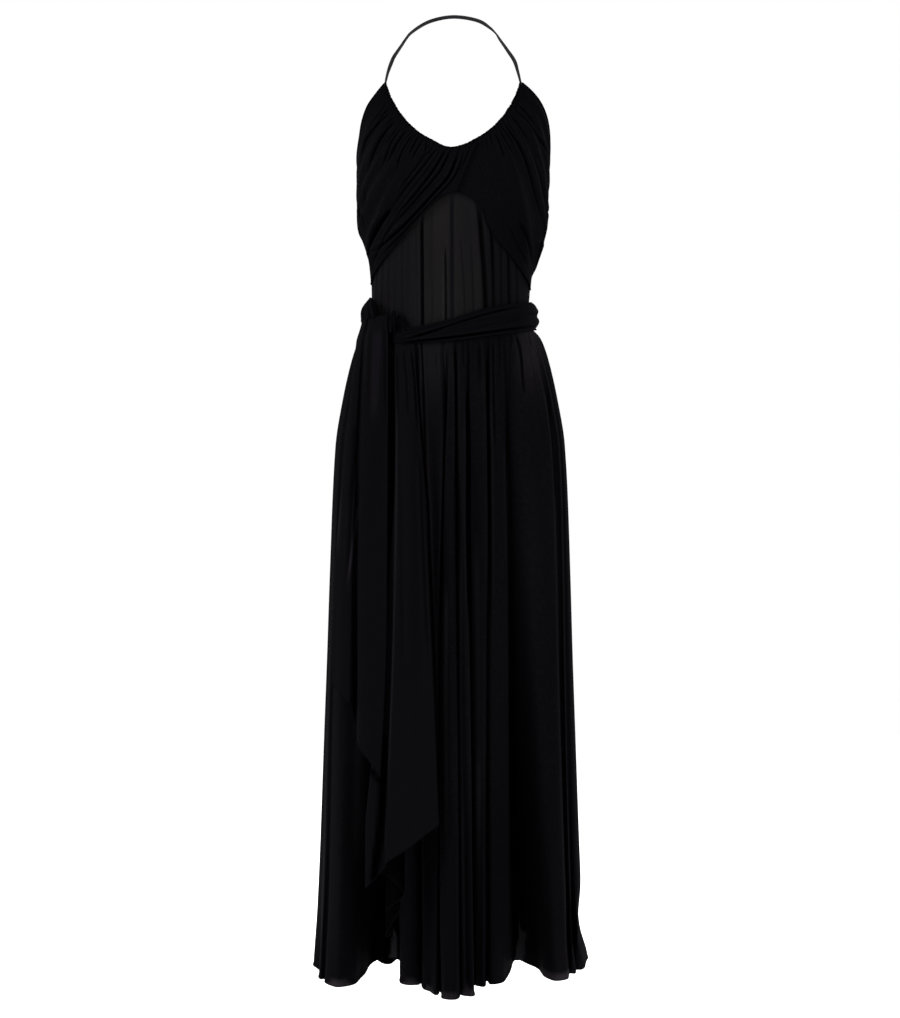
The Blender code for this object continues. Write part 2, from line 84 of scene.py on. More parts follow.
# %% Floor and lights
FLOOR_BELOW_HEM = 0.12
FLOOR_HALF = 6.0
AIM = np.array((0.0, -0.05, -0.75))
SOFT_BOXES = (
    # name, place, size, power
    ("key_left", (-3.3, -2.3, 0.7), (1.6, 2.6), 220),
    ("fill_right", (3.3, -2.2, 0.4), (1.4, 2.4), 140),
    ("top_front", (0.2, -2.2, 2.4), (2.0, 1.0), 60),
    ("back_left", (3.1, 2.6, 0.5), (1.4, 2.4), 160),
    ("back_right", (-3.2, 2.4, 0.3), (1.4, 2.4), 120),
)
for name, place, size, power in SOFT_BOXES:
    light = bpy.data.lights.new(name, "AREA")
    light.shape = "RECTANGLE"
    light.size, light.size_y = size
    light.energy = power
    lamp = bpy.data.objects.new(name, light)
    lamp.location = place
    x, y, z = AIM - place
    lamp.rotation_euler = (math.atan2(math.hypot(x, y), -z), 0, math.atan2(y, x) - math.pi / 2)
    bpy.context.scene.collection.objects.link(lamp)

world = bpy.data.worlds.new("white_studio")
world.use_nodes = True
world.node_tree.nodes["Background"].inputs["Color"].default_value = (1, 1, 1, 1)
world.node_tree.nodes["Background"].inputs["Strength"].default_value = 1.0
bpy.context.scene.world = world
bpy.context.scene.view_settings.view_transform = "Standard"

floor_z = cad_box[0][2] - FLOOR_BELOW_HEM
corners = [(x * FLOOR_HALF, y * FLOOR_HALF, floor_z) for x, y in ((-1, -1), (1, -1), (1, 1), (-1, 1))]
floor_mesh = bpy.data.meshes.new("floor")
floor_mesh.from_pydata(corners, [], [(0, 1, 2, 3)])
floor = bpy.data.objects.new("floor", floor_mesh)
bpy.context.scene.collection.objects.link(floor)
print("floor at", round(floor_z, 3), "m, soft boxes", len(SOFT_BOXES))

# %% [markdown]
# Colours are written as sRGB hex values, as a dyer's card would give them, and one function turns them
# linear. One small function adds a shader node. Each of its inputs is either a fixed value or another
# node's output.

# %% Colour and node helpers
def linear(hex_colour):
    parts = [int(hex_colour[i : i + 2], 16) / 255 for i in (1, 3, 5)]
    return (*[c / 12.92 if c <= 0.04045 else ((c + 0.055) / 1.055) ** 2.4 for c in parts], 1.0)


def feed(node, inputs):
    for key, value in inputs.items():
        if isinstance(value, bpy.types.NodeSocket):
            node.id_data.links.new(value, node.inputs[key])
        else:
            node.inputs[key].default_value = value


def add_node(material, kind, output, inputs, **settings):
    """Adds one shader node, sets it, feeds its inputs and gives the named output."""
    node = material.node_tree.nodes.new("ShaderNode" + kind)
    for key, value in settings.items():
        setattr(node, key, value)
    feed(node, inputs)
    return node.outputs[output]


def new_material(name):
    material = bpy.data.materials.new(name)
    material.use_nodes = True
    return material, material.node_tree.nodes["Principled BSDF"]


# %% [markdown]
# Studio paper is matt and nearly white. A little mottling keeps it from looking like plain plastic.

# %% Floor paper
PAPER_GRAIN_MM = 40
paper, shader = new_material("studio_paper")
place = add_node(paper, "TexCoord", "Object", {})
grain = add_node(paper, "TexNoise", "Fac", {"Scale": 1000 / PAPER_GRAIN_MM, "Vector": place})
tones = {0: grain, 6: linear("#F4F4F4"), 7: linear("#FAFAFA")}
feed(shader, {"Base Color": add_node(paper, "Mix", 2, tones, data_type="RGBA"), "Roughness": 0.9})
floor_mesh.materials.append(paper)
print("paper made")

# %% [markdown]
# Chiffon is woven in plain weave from fine, tightly twisted yarn and dyed black in the piece. The twist
# gives it a faint crinkle and a soft, dry sheen with a violet cast. Light and shade are painted into its
# colour. Where it lies in one layer it is painted greyer, as light would come through between the threads,
# and in the bottom of a fold or crease it is painted nearly black, as painted shade. A value on each point,
# called open, says which: 0 is painted shade, 0.5 ordinary and 1 painted light through a single layer. Real
# threads are about 0.25 mm apart, which is finer than a pixel here, so the weave is drawn at 1 mm: threads
# show the colour and the gaps between them about a third of it. The dye takes unevenly over a hand's
# breadth, from slate to violet. Fibres have an index near 1.5, but the gaps trap their gloss, so the
# specular level is almost nothing, and what shine there is comes from the fuzz of the yarn, as sheen.
#
# The same bolt gives every piece, but how much light a single layer lets through differs: most over the
# lined skirt, less in the see-through midriff, whose far side is dark, and least in the sash, which is
# several layers thick. The neck tape is cut on the bias and pressed hard, so its weave is finer and it
# shines more.

# %% Chiffon
WEAVE_MM = 1.0
CRINKLE_MM = 6.0
DYE_MM = 160.0
FIBRE_IOR = 1.5
YARN = {"Distortion": 0.6, "Detail": 1.0, "Detail Scale": 2.0}
FUZZ = {"Sheen Roughness": 0.35, "Sheen Tint": linear("#B9AEC6")}
DYE_TINT = "#FFF6FF"
PATCHY = 0.06  # how far the crinkle makes a cloth look more open and less
THREAD_SHADE, THREAD_LIGHT = 0.35, 0.95
WAVE_PERIOD_MM = 1000 * 2 * math.pi / 20  # how often a wave texture of scale 1 repeats


def chiffon(name, colours, roughness, specular=0.0005, sheen=0.004, weave_depth=0.00012, weave_mm=WEAVE_MM):
    """A woven cloth: its three colours are for painted shade, ordinary cloth and painted light through one
    layer.
    """
    material, shader = new_material(name)

    def node(*kind_output_inputs, **settings):
        return add_node(material, *kind_output_inputs, **settings)

    uv = node("UVMap", "UV", {}, uv_map="UVMap")
    wave = {"Vector": uv, "Scale": WAVE_PERIOD_MM / weave_mm, **YARN}
    warp, weft = (node("TexWave", "Fac", wave, wave_type="BANDS", bands_direction=way) for way in ("X", "Y"))
    weave = node("Math", "Value", {0: warp, 1: weft}, operation="MULTIPLY")
    space = node("TexCoord", "Object", {})
    crinkle = node(
        "TexNoise", "Fac", {"Vector": space, "Scale": 1000 / CRINKLE_MM, "Detail": 3.0, "Roughness": 0.6}
    )
    light_and_shade = node("Attribute", "Fac", {}, attribute_name="open")
    patchy = node("Math", "Value", {0: crinkle, 1: PATCHY, 2: -PATCHY / 2}, operation="MULTIPLY_ADD")
    amount = node("Math", "Value", {0: light_and_shade, 1: patchy}, operation="ADD", use_clamp=True)
    colour = node("ValToRGB", "Color", {"Fac": amount})
    stops = colour.node.color_ramp.elements
    stops[0].color, stops[1].color = linear(colours[0]), linear(colours[2])
    stops.new(0.5).color = linear(colours[1])
    dye = node("TexNoise", "Fac", {"Vector": space, "Scale": 1000 / DYE_MM, "Detail": 1.0})
    violet = node("MapRange", "Result", {"Value": dye, "From Min": 0.4, "From Max": 0.6})
    tint = {0: violet, 6: colour, 7: linear(DYE_TINT)}
    dyed = node("Mix", 2, tint, data_type="RGBA", blend_type="MULTIPLY")
    gaps = node("MapRange", "Result", {"Value": weave, "To Min": THREAD_SHADE, "To Max": THREAD_LIGHT})
    woven = node("VectorMath", "Vector", {"Vector": dyed, "Scale": gaps}, operation="SCALE")
    rough = node(
        "MapRange", "Result", {"Value": crinkle, "To Min": roughness - 0.06, "To Max": roughness + 0.08}
    )
    fine = node("Bump", "Normal", {"Height": weave, "Strength": 0.5, "Distance": weave_depth})
    soft = node("Bump", "Normal", {"Height": crinkle, "Normal": fine, "Strength": 0.25, "Distance": 0.0004})
    gloss = {"IOR": FIBRE_IOR, "Metallic": 0.0, "Specular IOR Level": specular, "Sheen Weight": sheen, **FUZZ}
    feed(shader, {"Base Color": woven, "Roughness": rough, "Normal": soft, **gloss})
    return material


# Each cloth's colours: full painted shade, ordinary cloth, and full painted light through one layer.
BLACK = chiffon("black_chiffon_over_lining", ("#000000", "#08080A", "#2A282B"), 0.6)
SHEER = chiffon("sheer_black_chiffon", ("#040404", "#0E0E10", "#1F1E1D"), 0.65)
BAND = chiffon("sash_band_chiffon", ("#000000", "#08080A", "#1C1C1E"), 0.6)
SASH = chiffon("sash_end_chiffon", ("#000000", "#0A0A0C", "#1C1A1E"), 0.6)
TAPE = chiffon("bias_cut_neck_tape", ("#040404", "#0C0C0C", "#302F31"), 0.5, 0.004, 0.008, 0.0002, 0.4)
print("cloths", [m.name for m in (BLACK, SHEER, BAND, SASH, TAPE)])

# %% [markdown]
# All the sizes below are in millimetres in the dressmaker's own frame: heights count down from the nape,
# and X and Y are taken from the plumb line through the waist. A table gives each form at a few heights or
# angles, and a smooth curve through its rows gives the rest, so that a row can be changed without touching
# any code.

# %% Reading the tables
MM = 0.001
NAPE = np.array((5.0, 45.0, 0.0))


def smooth(table, column, at):
    """One column of a table whose first column is a height or an angle, read by a monotone cubic."""
    rows = sorted((row[0], row[column]) for row in table)
    knots, values = (np.array(part, float) for part in zip(*rows))
    gap = np.diff(knots)
    slope = np.diff(values) / gap
    both = slope[:-1] * slope[1:]
    total = np.where(both > 0, slope[:-1] + slope[1:], 1.0)
    tangent = np.concatenate((slope[:1], np.where(both > 0, 2 * both / total, 0.0), slope[-1:]))
    at = np.clip(at, knots[0], knots[-1])
    cell = np.clip(np.searchsorted(knots, at) - 1, 0, len(gap) - 1)
    t = (at - knots[cell]) / gap[cell]
    start = values[cell] * (1 + 2 * t) * (1 - t) ** 2 + values[cell + 1] * t * t * (3 - 2 * t)
    return start + gap[cell] * (tangent[cell] * t * (1 - t) ** 2 + tangent[cell + 1] * t * t * (t - 1))


def curve_through(points, spans, closed=False):
    """Centripetal Catmull-Rom curves through the points, which run along the last axis but one."""
    points = np.moveaxis(np.asarray(points, float), -2, 0)
    if closed:
        padded = [points[-1], *points, points[0], points[1]]
    else:
        padded = [2 * points[0] - points[1], *points, 2 * points[-1] - points[-2]]
    curve = []
    for a, b, c, d in zip(padded, padded[1:], padded[2:], padded[3:]):
        tb = np.sqrt(np.linalg.norm(b - a, axis=-1, keepdims=True))
        tc = tb + np.sqrt(np.linalg.norm(c - b, axis=-1, keepdims=True))
        td = tc + np.sqrt(np.linalg.norm(d - c, axis=-1, keepdims=True))
        for i in range(spans):
            t = tb + (tc - tb) * i / spans
            ab = a + (b - a) * t / tb
            bc = b + (c - b) * (t - tb) / (tc - tb)
            cd = c + (d - c) * (t - tc) / (td - tc)
            abc = ab + (bc - ab) * t / tc
            bcd = bc + (cd - bc) * (t - tb) / (td - tb)
            curve.append(abc + (bcd - abc) * (t - tb) / (tc - tb))
    if not closed:
        curve.append(points[-1])
    return np.moveaxis(np.array(curve), 0, -2)


def distances(line):
    """How far along a line each of its points is."""
    steps = np.linalg.norm(np.diff(np.asarray(line, float), axis=0), axis=1)
    return np.concatenate(([0.0], np.cumsum(steps)))


def along(points, share):
    """The points at these shares of the length of a line."""
    lengths = distances(points)
    at = np.asarray(share) * lengths[-1]
    return np.stack([np.interp(at, lengths, column) for column in np.asarray(points, float).T], -1)


def ease(value):
    """A soft step from 0 to 1."""
    value = np.clip(value, 0.0, 1.0)
    return value * value * (3 - 2 * value)


def bell(value, middle, half, power=2):
    """1 at the middle, falling softly to 0 on both sides. A higher power has a flatter top."""
    return np.exp(-(((value - middle) / half) ** power))


# %% [markdown]
# Each cloth is a grid of points, rows running down and columns across. Chiffon is about 0.2 mm thick; the
# shell here is 0.5 mm so that its edges catch a little light, and a Solidify modifier gives it, towards the
# inside. The grid also lays out the UV map in real metres, so the weave keeps its size and follows the
# grain.

# %% Cloth from a grid
SHELL_MM = 0.5


def outward(grid, ring=False):
    """Unit normals of a grid, which point away from the wearer."""
    if ring:
        across = np.roll(grid, -1, 1) - np.roll(grid, 1, 1)
    else:
        across = np.gradient(grid, axis=1)
    normal = np.cross(np.gradient(grid, axis=0), across)
    return normal / np.maximum(np.linalg.norm(normal, axis=-1, keepdims=True), 1e-9)


def mesh_from(name, points, faces, material, uv, values):
    """A smooth mesh with a UV map in metres and the value `open`, of painted light and shade, on each point.
    """
    mesh = bpy.data.meshes.new(name)
    mesh.from_pydata((points.reshape(-1, 3) * MM - NAPE * MM).tolist(), [], faces)
    mesh.materials.append(material)
    loops = np.zeros(len(mesh.loops), np.int64)
    mesh.loops.foreach_get("vertex_index", loops)
    uv_map = mesh.uv_layers.new(name="UVMap")
    uv_map.data.foreach_set("uv", uv.reshape(-1, 2)[loops].astype(np.float32).ravel())
    light_and_shade = mesh.attributes.new("open", "FLOAT", "POINT")
    light_and_shade.data.foreach_set("value", np.clip(values.ravel(), 0, 1).astype(np.float32))
    mesh.shade_smooth()
    piece = bpy.data.objects.new(name, mesh)
    bpy.context.scene.collection.objects.link(piece)
    return piece


def grid_faces(rows, columns, ring=False):
    faces = []
    for r in range(rows - 1):
        for c in range(columns if ring else columns - 1):
            here, beside = r * columns + c, r * columns + (c + 1) % columns
            faces.append((here, here + columns, beside + columns, beside))
    return faces


def cloth(name, grid, material, values, ring=False):
    """One piece of cloth, with its UV map laid out along and across its own mean lengths."""
    step_down = np.linalg.norm(np.diff(grid, axis=0), axis=-1).mean(1)
    step_across = np.linalg.norm(np.diff(grid, axis=1), axis=-1).mean(0)
    v, u = (np.concatenate(([0.0], np.cumsum(step))) * MM for step in (step_down, step_across))
    uv = np.stack(np.broadcast_arrays(u[None, :], -v[:, None]), -1)
    piece = mesh_from(name, grid, grid_faces(*grid.shape[:2], ring), material, uv, values)
    shell = piece.modifiers.new("shell", "SOLIDIFY")
    shell.thickness = SHELL_MM * MM
    shell.offset = -1.0
    area = sum(face.area for face in piece.data.polygons)
    print(f"{name}: {grid.shape[:2]} points, {area:.3f} square metres, about {u[-1]:.2f} x {v[-1]:.2f} m")


# %% [markdown]
# The edges of chiffon are rolled over and stitched, which leaves a cord of cloth about 1.5 mm thick. One
# function sweeps a closed section along a line, for such an edge and also for the neck tape. Where an edge
# is drawn up on the tape, bumps show it.

# %% Swept edges
EDGE_SIDES = 8
# a little painted shade along every rolled edge
EDGE_OPEN = 0.42
SLANT = (0.13, 0.31, 0.94)  # a direction that no edge follows, from which its section is turned


def directions(line):
    ahead = np.gradient(line, axis=0)
    return ahead / np.linalg.norm(ahead, axis=1, keepdims=True)


def beside(ahead, way):
    side = np.cross(ahead, way)
    return side / np.linalg.norm(side, axis=1, keepdims=True)


def sweep(name, line, offsets, material, round_mm, light_and_shade):
    """A closed tube: offsets are its section at each point of the line, round_mm the distance round it."""
    count, sides = offsets.shape[:2]
    faces = grid_faces(count, sides, ring=True)
    faces += [tuple(range(sides)), tuple(range((count - 1) * sides, count * sides))[::-1]]
    length = distances(line)
    uv = np.stack(np.broadcast_arrays(length[:, None], round_mm[None, :]), -1) * MM
    mesh_from(name, line[:, None] + offsets, faces, material, uv, np.full(count * sides, light_and_shade))
    print(f"{name}: {length[-1] * MM:.2f} m long")


def rolled_edge(name, line, radius, material, bumps=0.0):
    ahead = directions(line)
    side = beside(ahead, SLANT)
    over = np.cross(ahead, side)
    turn = np.arange(EDGE_SIDES)[::-1] * 2 * math.pi / EDGE_SIDES
    spoke = side[:, None] * np.cos(turn)[:, None] + over[:, None] * np.sin(turn)[:, None]
    swell = radius * (1 + np.broadcast_to(bumps, len(line)))
    sweep(name, line, spoke * swell[:, None, None], material, turn * radius, EDGE_OPEN)


# %% [markdown]
# A crease is a soft trough with a low ridge along each side, because the cloth that sinks into it has to
# come from beside it. It is placed by the line that it follows across the front, in X and height, with its
# own half width and depth, and it fades out at both ends. Gathers are finer: their spacing and length
# wander, so the sum of three unequal waves stands for them.
#
# The same function also paints light along a line, such as a painted highlight on the shoulder of a fold: a
# trough of painted light instead of depth, and painted shade where its amount is below 0.

# %% Creases and gathers
CREASE_SPANS = 4
FADE_IN, FADE_OUT = 0.16, 0.34
SHOULDER = 0.4


def crease_lift(x, height, creases):
    """How far the creases move each place out, in millimetres. A trough is negative."""
    lift = np.zeros_like(x)
    for width, depth, *line in creases:
        line = np.reshape(line, (-1, 2))
        if len(line) > 2:
            line = curve_through(line, CREASE_SPANS)
        lengths = distances(line)
        nearest = np.full(x.shape, 1e9)
        place = np.zeros_like(x)
        for (ax, az), (bx, bz), start, end in zip(line, line[1:], lengths, lengths[1:]):
            run = end - start
            t = np.clip(((x - ax) * (bx - ax) + (height - az) * (bz - az)) / run**2, 0, 1)
            away = np.hypot(x - ax - t * (bx - ax), height - az - t * (bz - az))
            closer = away < nearest
            nearest = np.where(closer, away, nearest)
            place = np.where(closer, (start + t * run) / lengths[-1], place)
        fade = ease(place / FADE_IN) * ease((1 - place) / FADE_OUT)
        lift += depth * fade * (SHOULDER * bell(nearest, 2.1 * width, 1.2 * width) - bell(nearest, 0, width))
    return lift


def painted_light_lines(x, height, places):
    """How much painted light lies along lines, as painted highlights. A value below 0 paints shade instead.
    """
    lighter = np.zeros_like(x)
    for width, light, *line in places:
        lighter -= light * np.minimum(crease_lift(x, height, [(width, 1.0, *line)]), 0)
    return lighter


def gathers(across, down, spacing, length, height, start=0.0):
    """Short uneven pleats that begin at an edge: across and down are distances in millimetres."""
    turn = 2 * math.pi * across / spacing
    wave = np.sin(turn + start) + 0.7 * np.sin(turn * 0.618 + 1.7 + start)
    wave = wave + 0.5 * np.sin(turn * 1.47 + 0.6 - start)
    reach = length * (1 + 0.45 * np.sin(turn * 0.37 + start) + 0.25 * np.sin(turn * 0.83 + 2.1))
    return height * wave / 1.5 * np.exp(-np.maximum(down, 0) / np.maximum(reach, 0.2 * length))


def relief(grid, reach, ring=False):
    """How far each place stands out from its row's neighbours, in millimetres. A valley is negative."""
    weights = np.exp(-((np.arange(-2 * reach, 2 * reach + 1) / reach) ** 2))
    sides = ((0, 0), (2 * reach, 2 * reach), (0, 0))
    padded = np.pad(grid, sides, mode="wrap" if ring else "edge")
    level = sum(w * padded[:, i : i + grid.shape[1]] for i, w in enumerate(weights)) / weights.sum()
    return ((grid - level) * outward(level, ring)).sum(-1)


def painted_fold_shade(lift, shade_depth, usual=0.5):
    """Painted shade and highlight: 0, full painted shade, in a trough as deep as the given depth, the usual
    value on the level, and a little painted highlight on a ridge.
    """
    return usual * (1 + np.clip(lift / shade_depth, -1, 0) + 0.08 * np.clip(lift / shade_depth, 0, 1))


# %% [markdown]
# The cups and the midriff lie on the same general figure, which is given by its half breadth and its depth
# in front of and behind the plumb line at each height. A place on it is an angle from the front and a
# height. Below the bust the sash pulls the side seams in, so there the cloth lies close to the figure.

# %% The figure under the cups
TORSO = (
    # height, half breadth, front, back, X of its middle
    (-100, 154, 62, 70, 5),
    (-165, 147, 90, 84, 5),
    (-205, 142, 108, 92, 5),
    (-245, 140, 119, 95, 4),
    (-280, 139, 119, 94, 3),
    (-325, 137, 108, 90, 3),
    (-352, 130, 99, 86, 3),
    (-385, 121, 91, 82, 2),
    (-425, 118.4, 86, 81, 1),
    (-465, 117, 87, 84, 0),
    (-500, 122, 90, 88, 0),
)
BUST = {"across": 70, "height": -266, "width": 40, "tall": 50, "rise": 9}
DRAWN_FROM = {"right": -330, "left": -385}
MIDDLE = 4.0
SIDE_ANGLE = 96.0
ROUND_THE_SIDE = 60  # the angle from which cloth is measured round the figure and no longer across it


def torso_point(angle, height, lift):
    angle, height, lift = np.broadcast_arrays(np.asarray(angle, float), height, lift)
    turn = np.radians(angle)
    half = smooth(TORSO, 1, height) + lift
    depth = np.where(np.abs(angle) < 90, smooth(TORSO, 2, height), smooth(TORSO, 3, height)) + lift
    x = smooth(TORSO, 4, height) + half * np.sin(turn)
    y = -depth * np.cos(turn)
    away = ((np.abs(x - MIDDLE) - BUST["across"]) / BUST["width"]) ** 2
    away = away + ((height - BUST["height"]) / BUST["tall"]) ** 2
    y = y - np.where(y < 0, BUST["rise"] * np.exp(-away), 0.0)
    return np.stack((x, y, height), -1)


def drawn_in(angle, height):
    """How far the lower side seams draw the cloth in to the figure beside them, from 0 to 1."""
    start = np.where(np.asarray(angle) < 0, DRAWN_FROM["right"], DRAWN_FROM["left"])
    beside_seam = ease((np.abs(angle) - 70) / 20) * ease((130 - np.abs(angle)) / 20)
    return beside_seam * ease((start - height) / 18)


def angle_at(x, height):
    share = (x - smooth(TORSO, 4, height)) / smooth(TORSO, 1, height)
    return float(np.degrees(np.arcsin(np.clip(share, -1, 1))))


def unrolled(angle, height):
    """Distance round the figure: it follows X in front, and goes on at the same pace round the side."""
    turn, bend = np.radians(np.abs(angle)), math.radians(ROUND_THE_SIDE)
    share = np.where(turn < bend, np.sin(turn), math.sin(bend) + (turn - bend) * math.cos(bend))
    return np.sign(angle) * share * smooth(TORSO, 1, height)


def unrolled_creases(creases):
    for width, depth, *line in creases:
        points = [(unrolled(angle_at(x, height), height), height) for x, height in np.reshape(line, (-1, 2))]
        yield width, depth, *np.ravel(points)


print("figure from", TORSO[0][0], "to", TORSO[-1][0], "mm")

# %% [markdown]
# Each cup is one wide piece, gathered along the neckline on the tape and drawn down to the side seam, and
# the right one laps over the left. It is made as a patch between its four edges in angle and height: the
# neckline, the lower edge, the centre edge and the armhole. Broad soft folds and then the sharp creases are
# added to it, and the gathers fan out from the neckline.

# %% Cup edges and folds
NECKLINE = ((10, -217.8), (28, -208), (46, -196.5), (65.5, -177), (79, -157.5), (89, -138), (97.5, -115))
CENTRE_TOP = {"right": ((38, -208), (MIDDLE, -219)), "left": ((-6, -219),)}
CENTRE_FOOT = {"right": (10, -283), "left": (-2, -281)}
ARMHOLE = {
    # angle from the front and height
    "right": ((41, -116), (48.7, -132), (57.2, -149), (65, -170), (73.6, -195), (84, -216), (96, -236)),
    "left": ((41, -115), (47, -124), (57, -141), (66, -160), (76, -185), (86, -211), (96, -236)),
}
LOWER = {
    "right": ((10, -283), (-8, -290), (-34, -312), (-77, -356), (-104, -387), (-116, -409)),
    "left": ((10, -283), (36, -296), (64, -346), (91, -376), (110, -402), (118, -417)),
}
SIDE_END = {"right": -409, "left": -417}
CUP_FOLDS = {
    # share of the way round at the neckline, at the lower edge, half width, height, start, end
    "right": (
        (0.05, 0.10, 0.035, 3.0, 0.05, 1.0),
        (0.16, 0.30, 0.045, 5.0, 0.0, 1.0),
        (0.27, 0.47, 0.050, 6.5, 0.0, 1.0),
        (0.38, 0.59, 0.045, 5.5, 0.0, 1.0),
        (0.50, 0.70, 0.045, 5.0, 0.0, 0.95),
        (0.66, 0.82, 0.050, 4.0, 0.0, 0.9),
        (0.82, 0.92, 0.050, 3.0, 0.0, 0.9),
    ),
    "left": (
        (0.22, 0.18, 0.045, 3.5, 0.1, 1.0),
        (0.40, 0.36, 0.050, 5.0, 0.0, 1.0),
        (0.56, 0.52, 0.050, 5.5, 0.0, 1.0),
        (0.70, 0.66, 0.050, 5.0, 0.0, 1.0),
        (0.83, 0.80, 0.050, 4.5, 0.0, 0.95),
        (0.93, 0.93, 0.040, 3.5, 0.0, 0.9),
    ),
}
CUP_CREASES = {
    # half width, depth, X and height of each point of its line
    "right": (
        (1, 1.3, -91, -146, -101, -163, -112, -176),
        (1.1, 1.9, -87, -154, -99, -169, -110, -190),
        (1.4, 2.6, -84, -160, -103, -178, -119, -199, -127, -228),
        (1, 1.7, -79, -168, -92, -185, -101, -199),
        (1.5, 3, -76, -172, -95, -196, -109, -222, -119, -256),
        (1.1, 1.8, -70, -180, -82, -198, -92, -219),
        (1.2, 2, -66, -184, -80, -206, -91, -232, -99, -252),
        (1.3, 2.6, -61, -189, -74, -209, -83, -228, -88, -243),
        (0.9, 1.3, -55, -193, -64, -208),
        (1.2, 2.4, -51, -196, -62, -216, -72, -240, -76, -254),
        (1.1, 1.9, -44, -200, -52, -217, -58, -232),
        (1.2, 2.1, -38, -204, -46, -222, -52, -240),
        (1.1, 2, -32, -208, -35, -229),
        (1.1, 1.7, -27, -210, -33, -226, -45, -243),
        (1.2, 1.5, -20, -213, -39, -238, -63, -270, -78, -298),
        (1.3, 2.4, -14, -214, -36, -246, -66, -283, -90, -315),
        (1.1, 1.3, -9, -215, -29, -250, -62, -292, -92, -330),
        (1.5, 3.2, -2, -216, -21, -250, -50, -290, -88, -332),
        (1.5, 2.6, 3, -216, -14, -254, -47, -294, -102, -356),
        (1.9, 4.6, 15, -218, -2, -262, -27, -292, -79, -343, -121, -380),
        (1.3, 2.6, 22, -218, 6, -262, -14, -286, -60, -334, -115, -391),
        (1.1, 1.4, 28, -217, 16, -250, 2, -273),
        (2.4, 6, -82, -304, -96, -323, -108, -345, -117, -380),
        (1.3, 1.6, -88, -300, -104, -330, -118, -360),
        (1.5, 2.4, -67, -312, -88, -337, -113, -388),
        (1.8, 1.8, -127, -266, -129, -302, -124, -346),
        (1.4, 1.2, -119, -272, -122, -306, -119, -338),
        (1.5, 1.2, -134, -232, -136, -270, -133, -318),
    ),
    "left": (
        (1, 1.5, 100, -138, 95, -150, 91, -164),
        (1.2, 1.7, 96, -148, 108, -160, 121, -180),
        (1.4, 2.2, 92, -156, 107, -172, 127, -198, 142, -236),
        (1.2, 2, 86, -167, 98, -182, 112, -204),
        (1.1, 1.5, 80, -174, 92, -196, 103, -222),
        (1.4, 2.6, 76, -179, 93, -204, 108, -236, 121, -281, 132, -331),
        (1, 1.6, 72, -184, 84, -200, 92, -214),
        (1.2, 2.1, 68, -188, 79, -209, 90, -229),
        (1.1, 1.9, 63, -193, 71, -215, 77, -238),
        (0.9, 1.5, 57, -197, 61, -216),
        (1.1, 1.8, 51, -202, 54, -225, 58, -240),
        (1, 1.5, 46, -206, 47, -226),
        (1.1, 1.8, 40, -210, 37, -233),
        (1.2, 1.5, 36, -228, 42, -246, 50, -268),
        (1, 1.1, 44, -232, 52, -252),
        (1.6, 2, 136, -204, 143, -236, 141, -288, 133, -333),
        (1.5, 1.6, 115, -222, 128, -254, 137, -297),
        (1.2, 1.2, 124, -214, 134, -246, 139, -280),
        (2.2, 4.4, 131, -345, 125, -371, 123, -398),
        (2.4, 1.5, 96, -321, 111, -353, 118, -385),
        (1.8, 1, 84, -330, 99, -362, 112, -392),
    ),
}


def on_figure(x, height):
    return angle_at(x, height), height


def patch(top, bottom, left, right, across, down):
    """Coons patch between four edges, for every share across and every share down."""
    top, bottom, left, right = (np.asarray(edge, float) for edge in (top, bottom, left, right))
    s, t = across[None, :, None], down[:, None, None]
    ends = (1 - t) * along(top, across)[None] + t * along(bottom, across)[None]
    sides = (1 - s) * along(left, down)[:, None] + s * along(right, down)[:, None]
    corners = (1 - t) * ((1 - s) * top[0] + s * top[-1]) + t * ((1 - s) * bottom[0] + s * bottom[-1])
    return ends + sides - corners


def fold_lift(folds, across, down):
    """How far the broad folds stand out. Each runs in a straight line from the top edge to the lower one."""
    lift = 0.0
    for at_top, at_bottom, width, height, start, end in folds:
        swell = np.clip(0.4 + (down - start) / 0.25, 0, 1) * np.clip((end - down) / 0.3, 0, 1)
        lift = lift + height * swell * bell(across, at_top + (at_bottom - at_top) * down, width)
    return lift


def painted_spots(x, height, places):
    """How much painted light lies at soft spots, each with a middle and a half size in X and in height. Below
    0 it is painted shade.
    """
    return sum(light * bell(x, *in_x) * bell(height, *in_height) for in_x, in_height, light in places)


# %% [markdown]
# The right cup rises a little towards its centre edge, where it lies on the left one. The left cup is
# pressed flat there, and its folds begin only where it comes out from under the right.

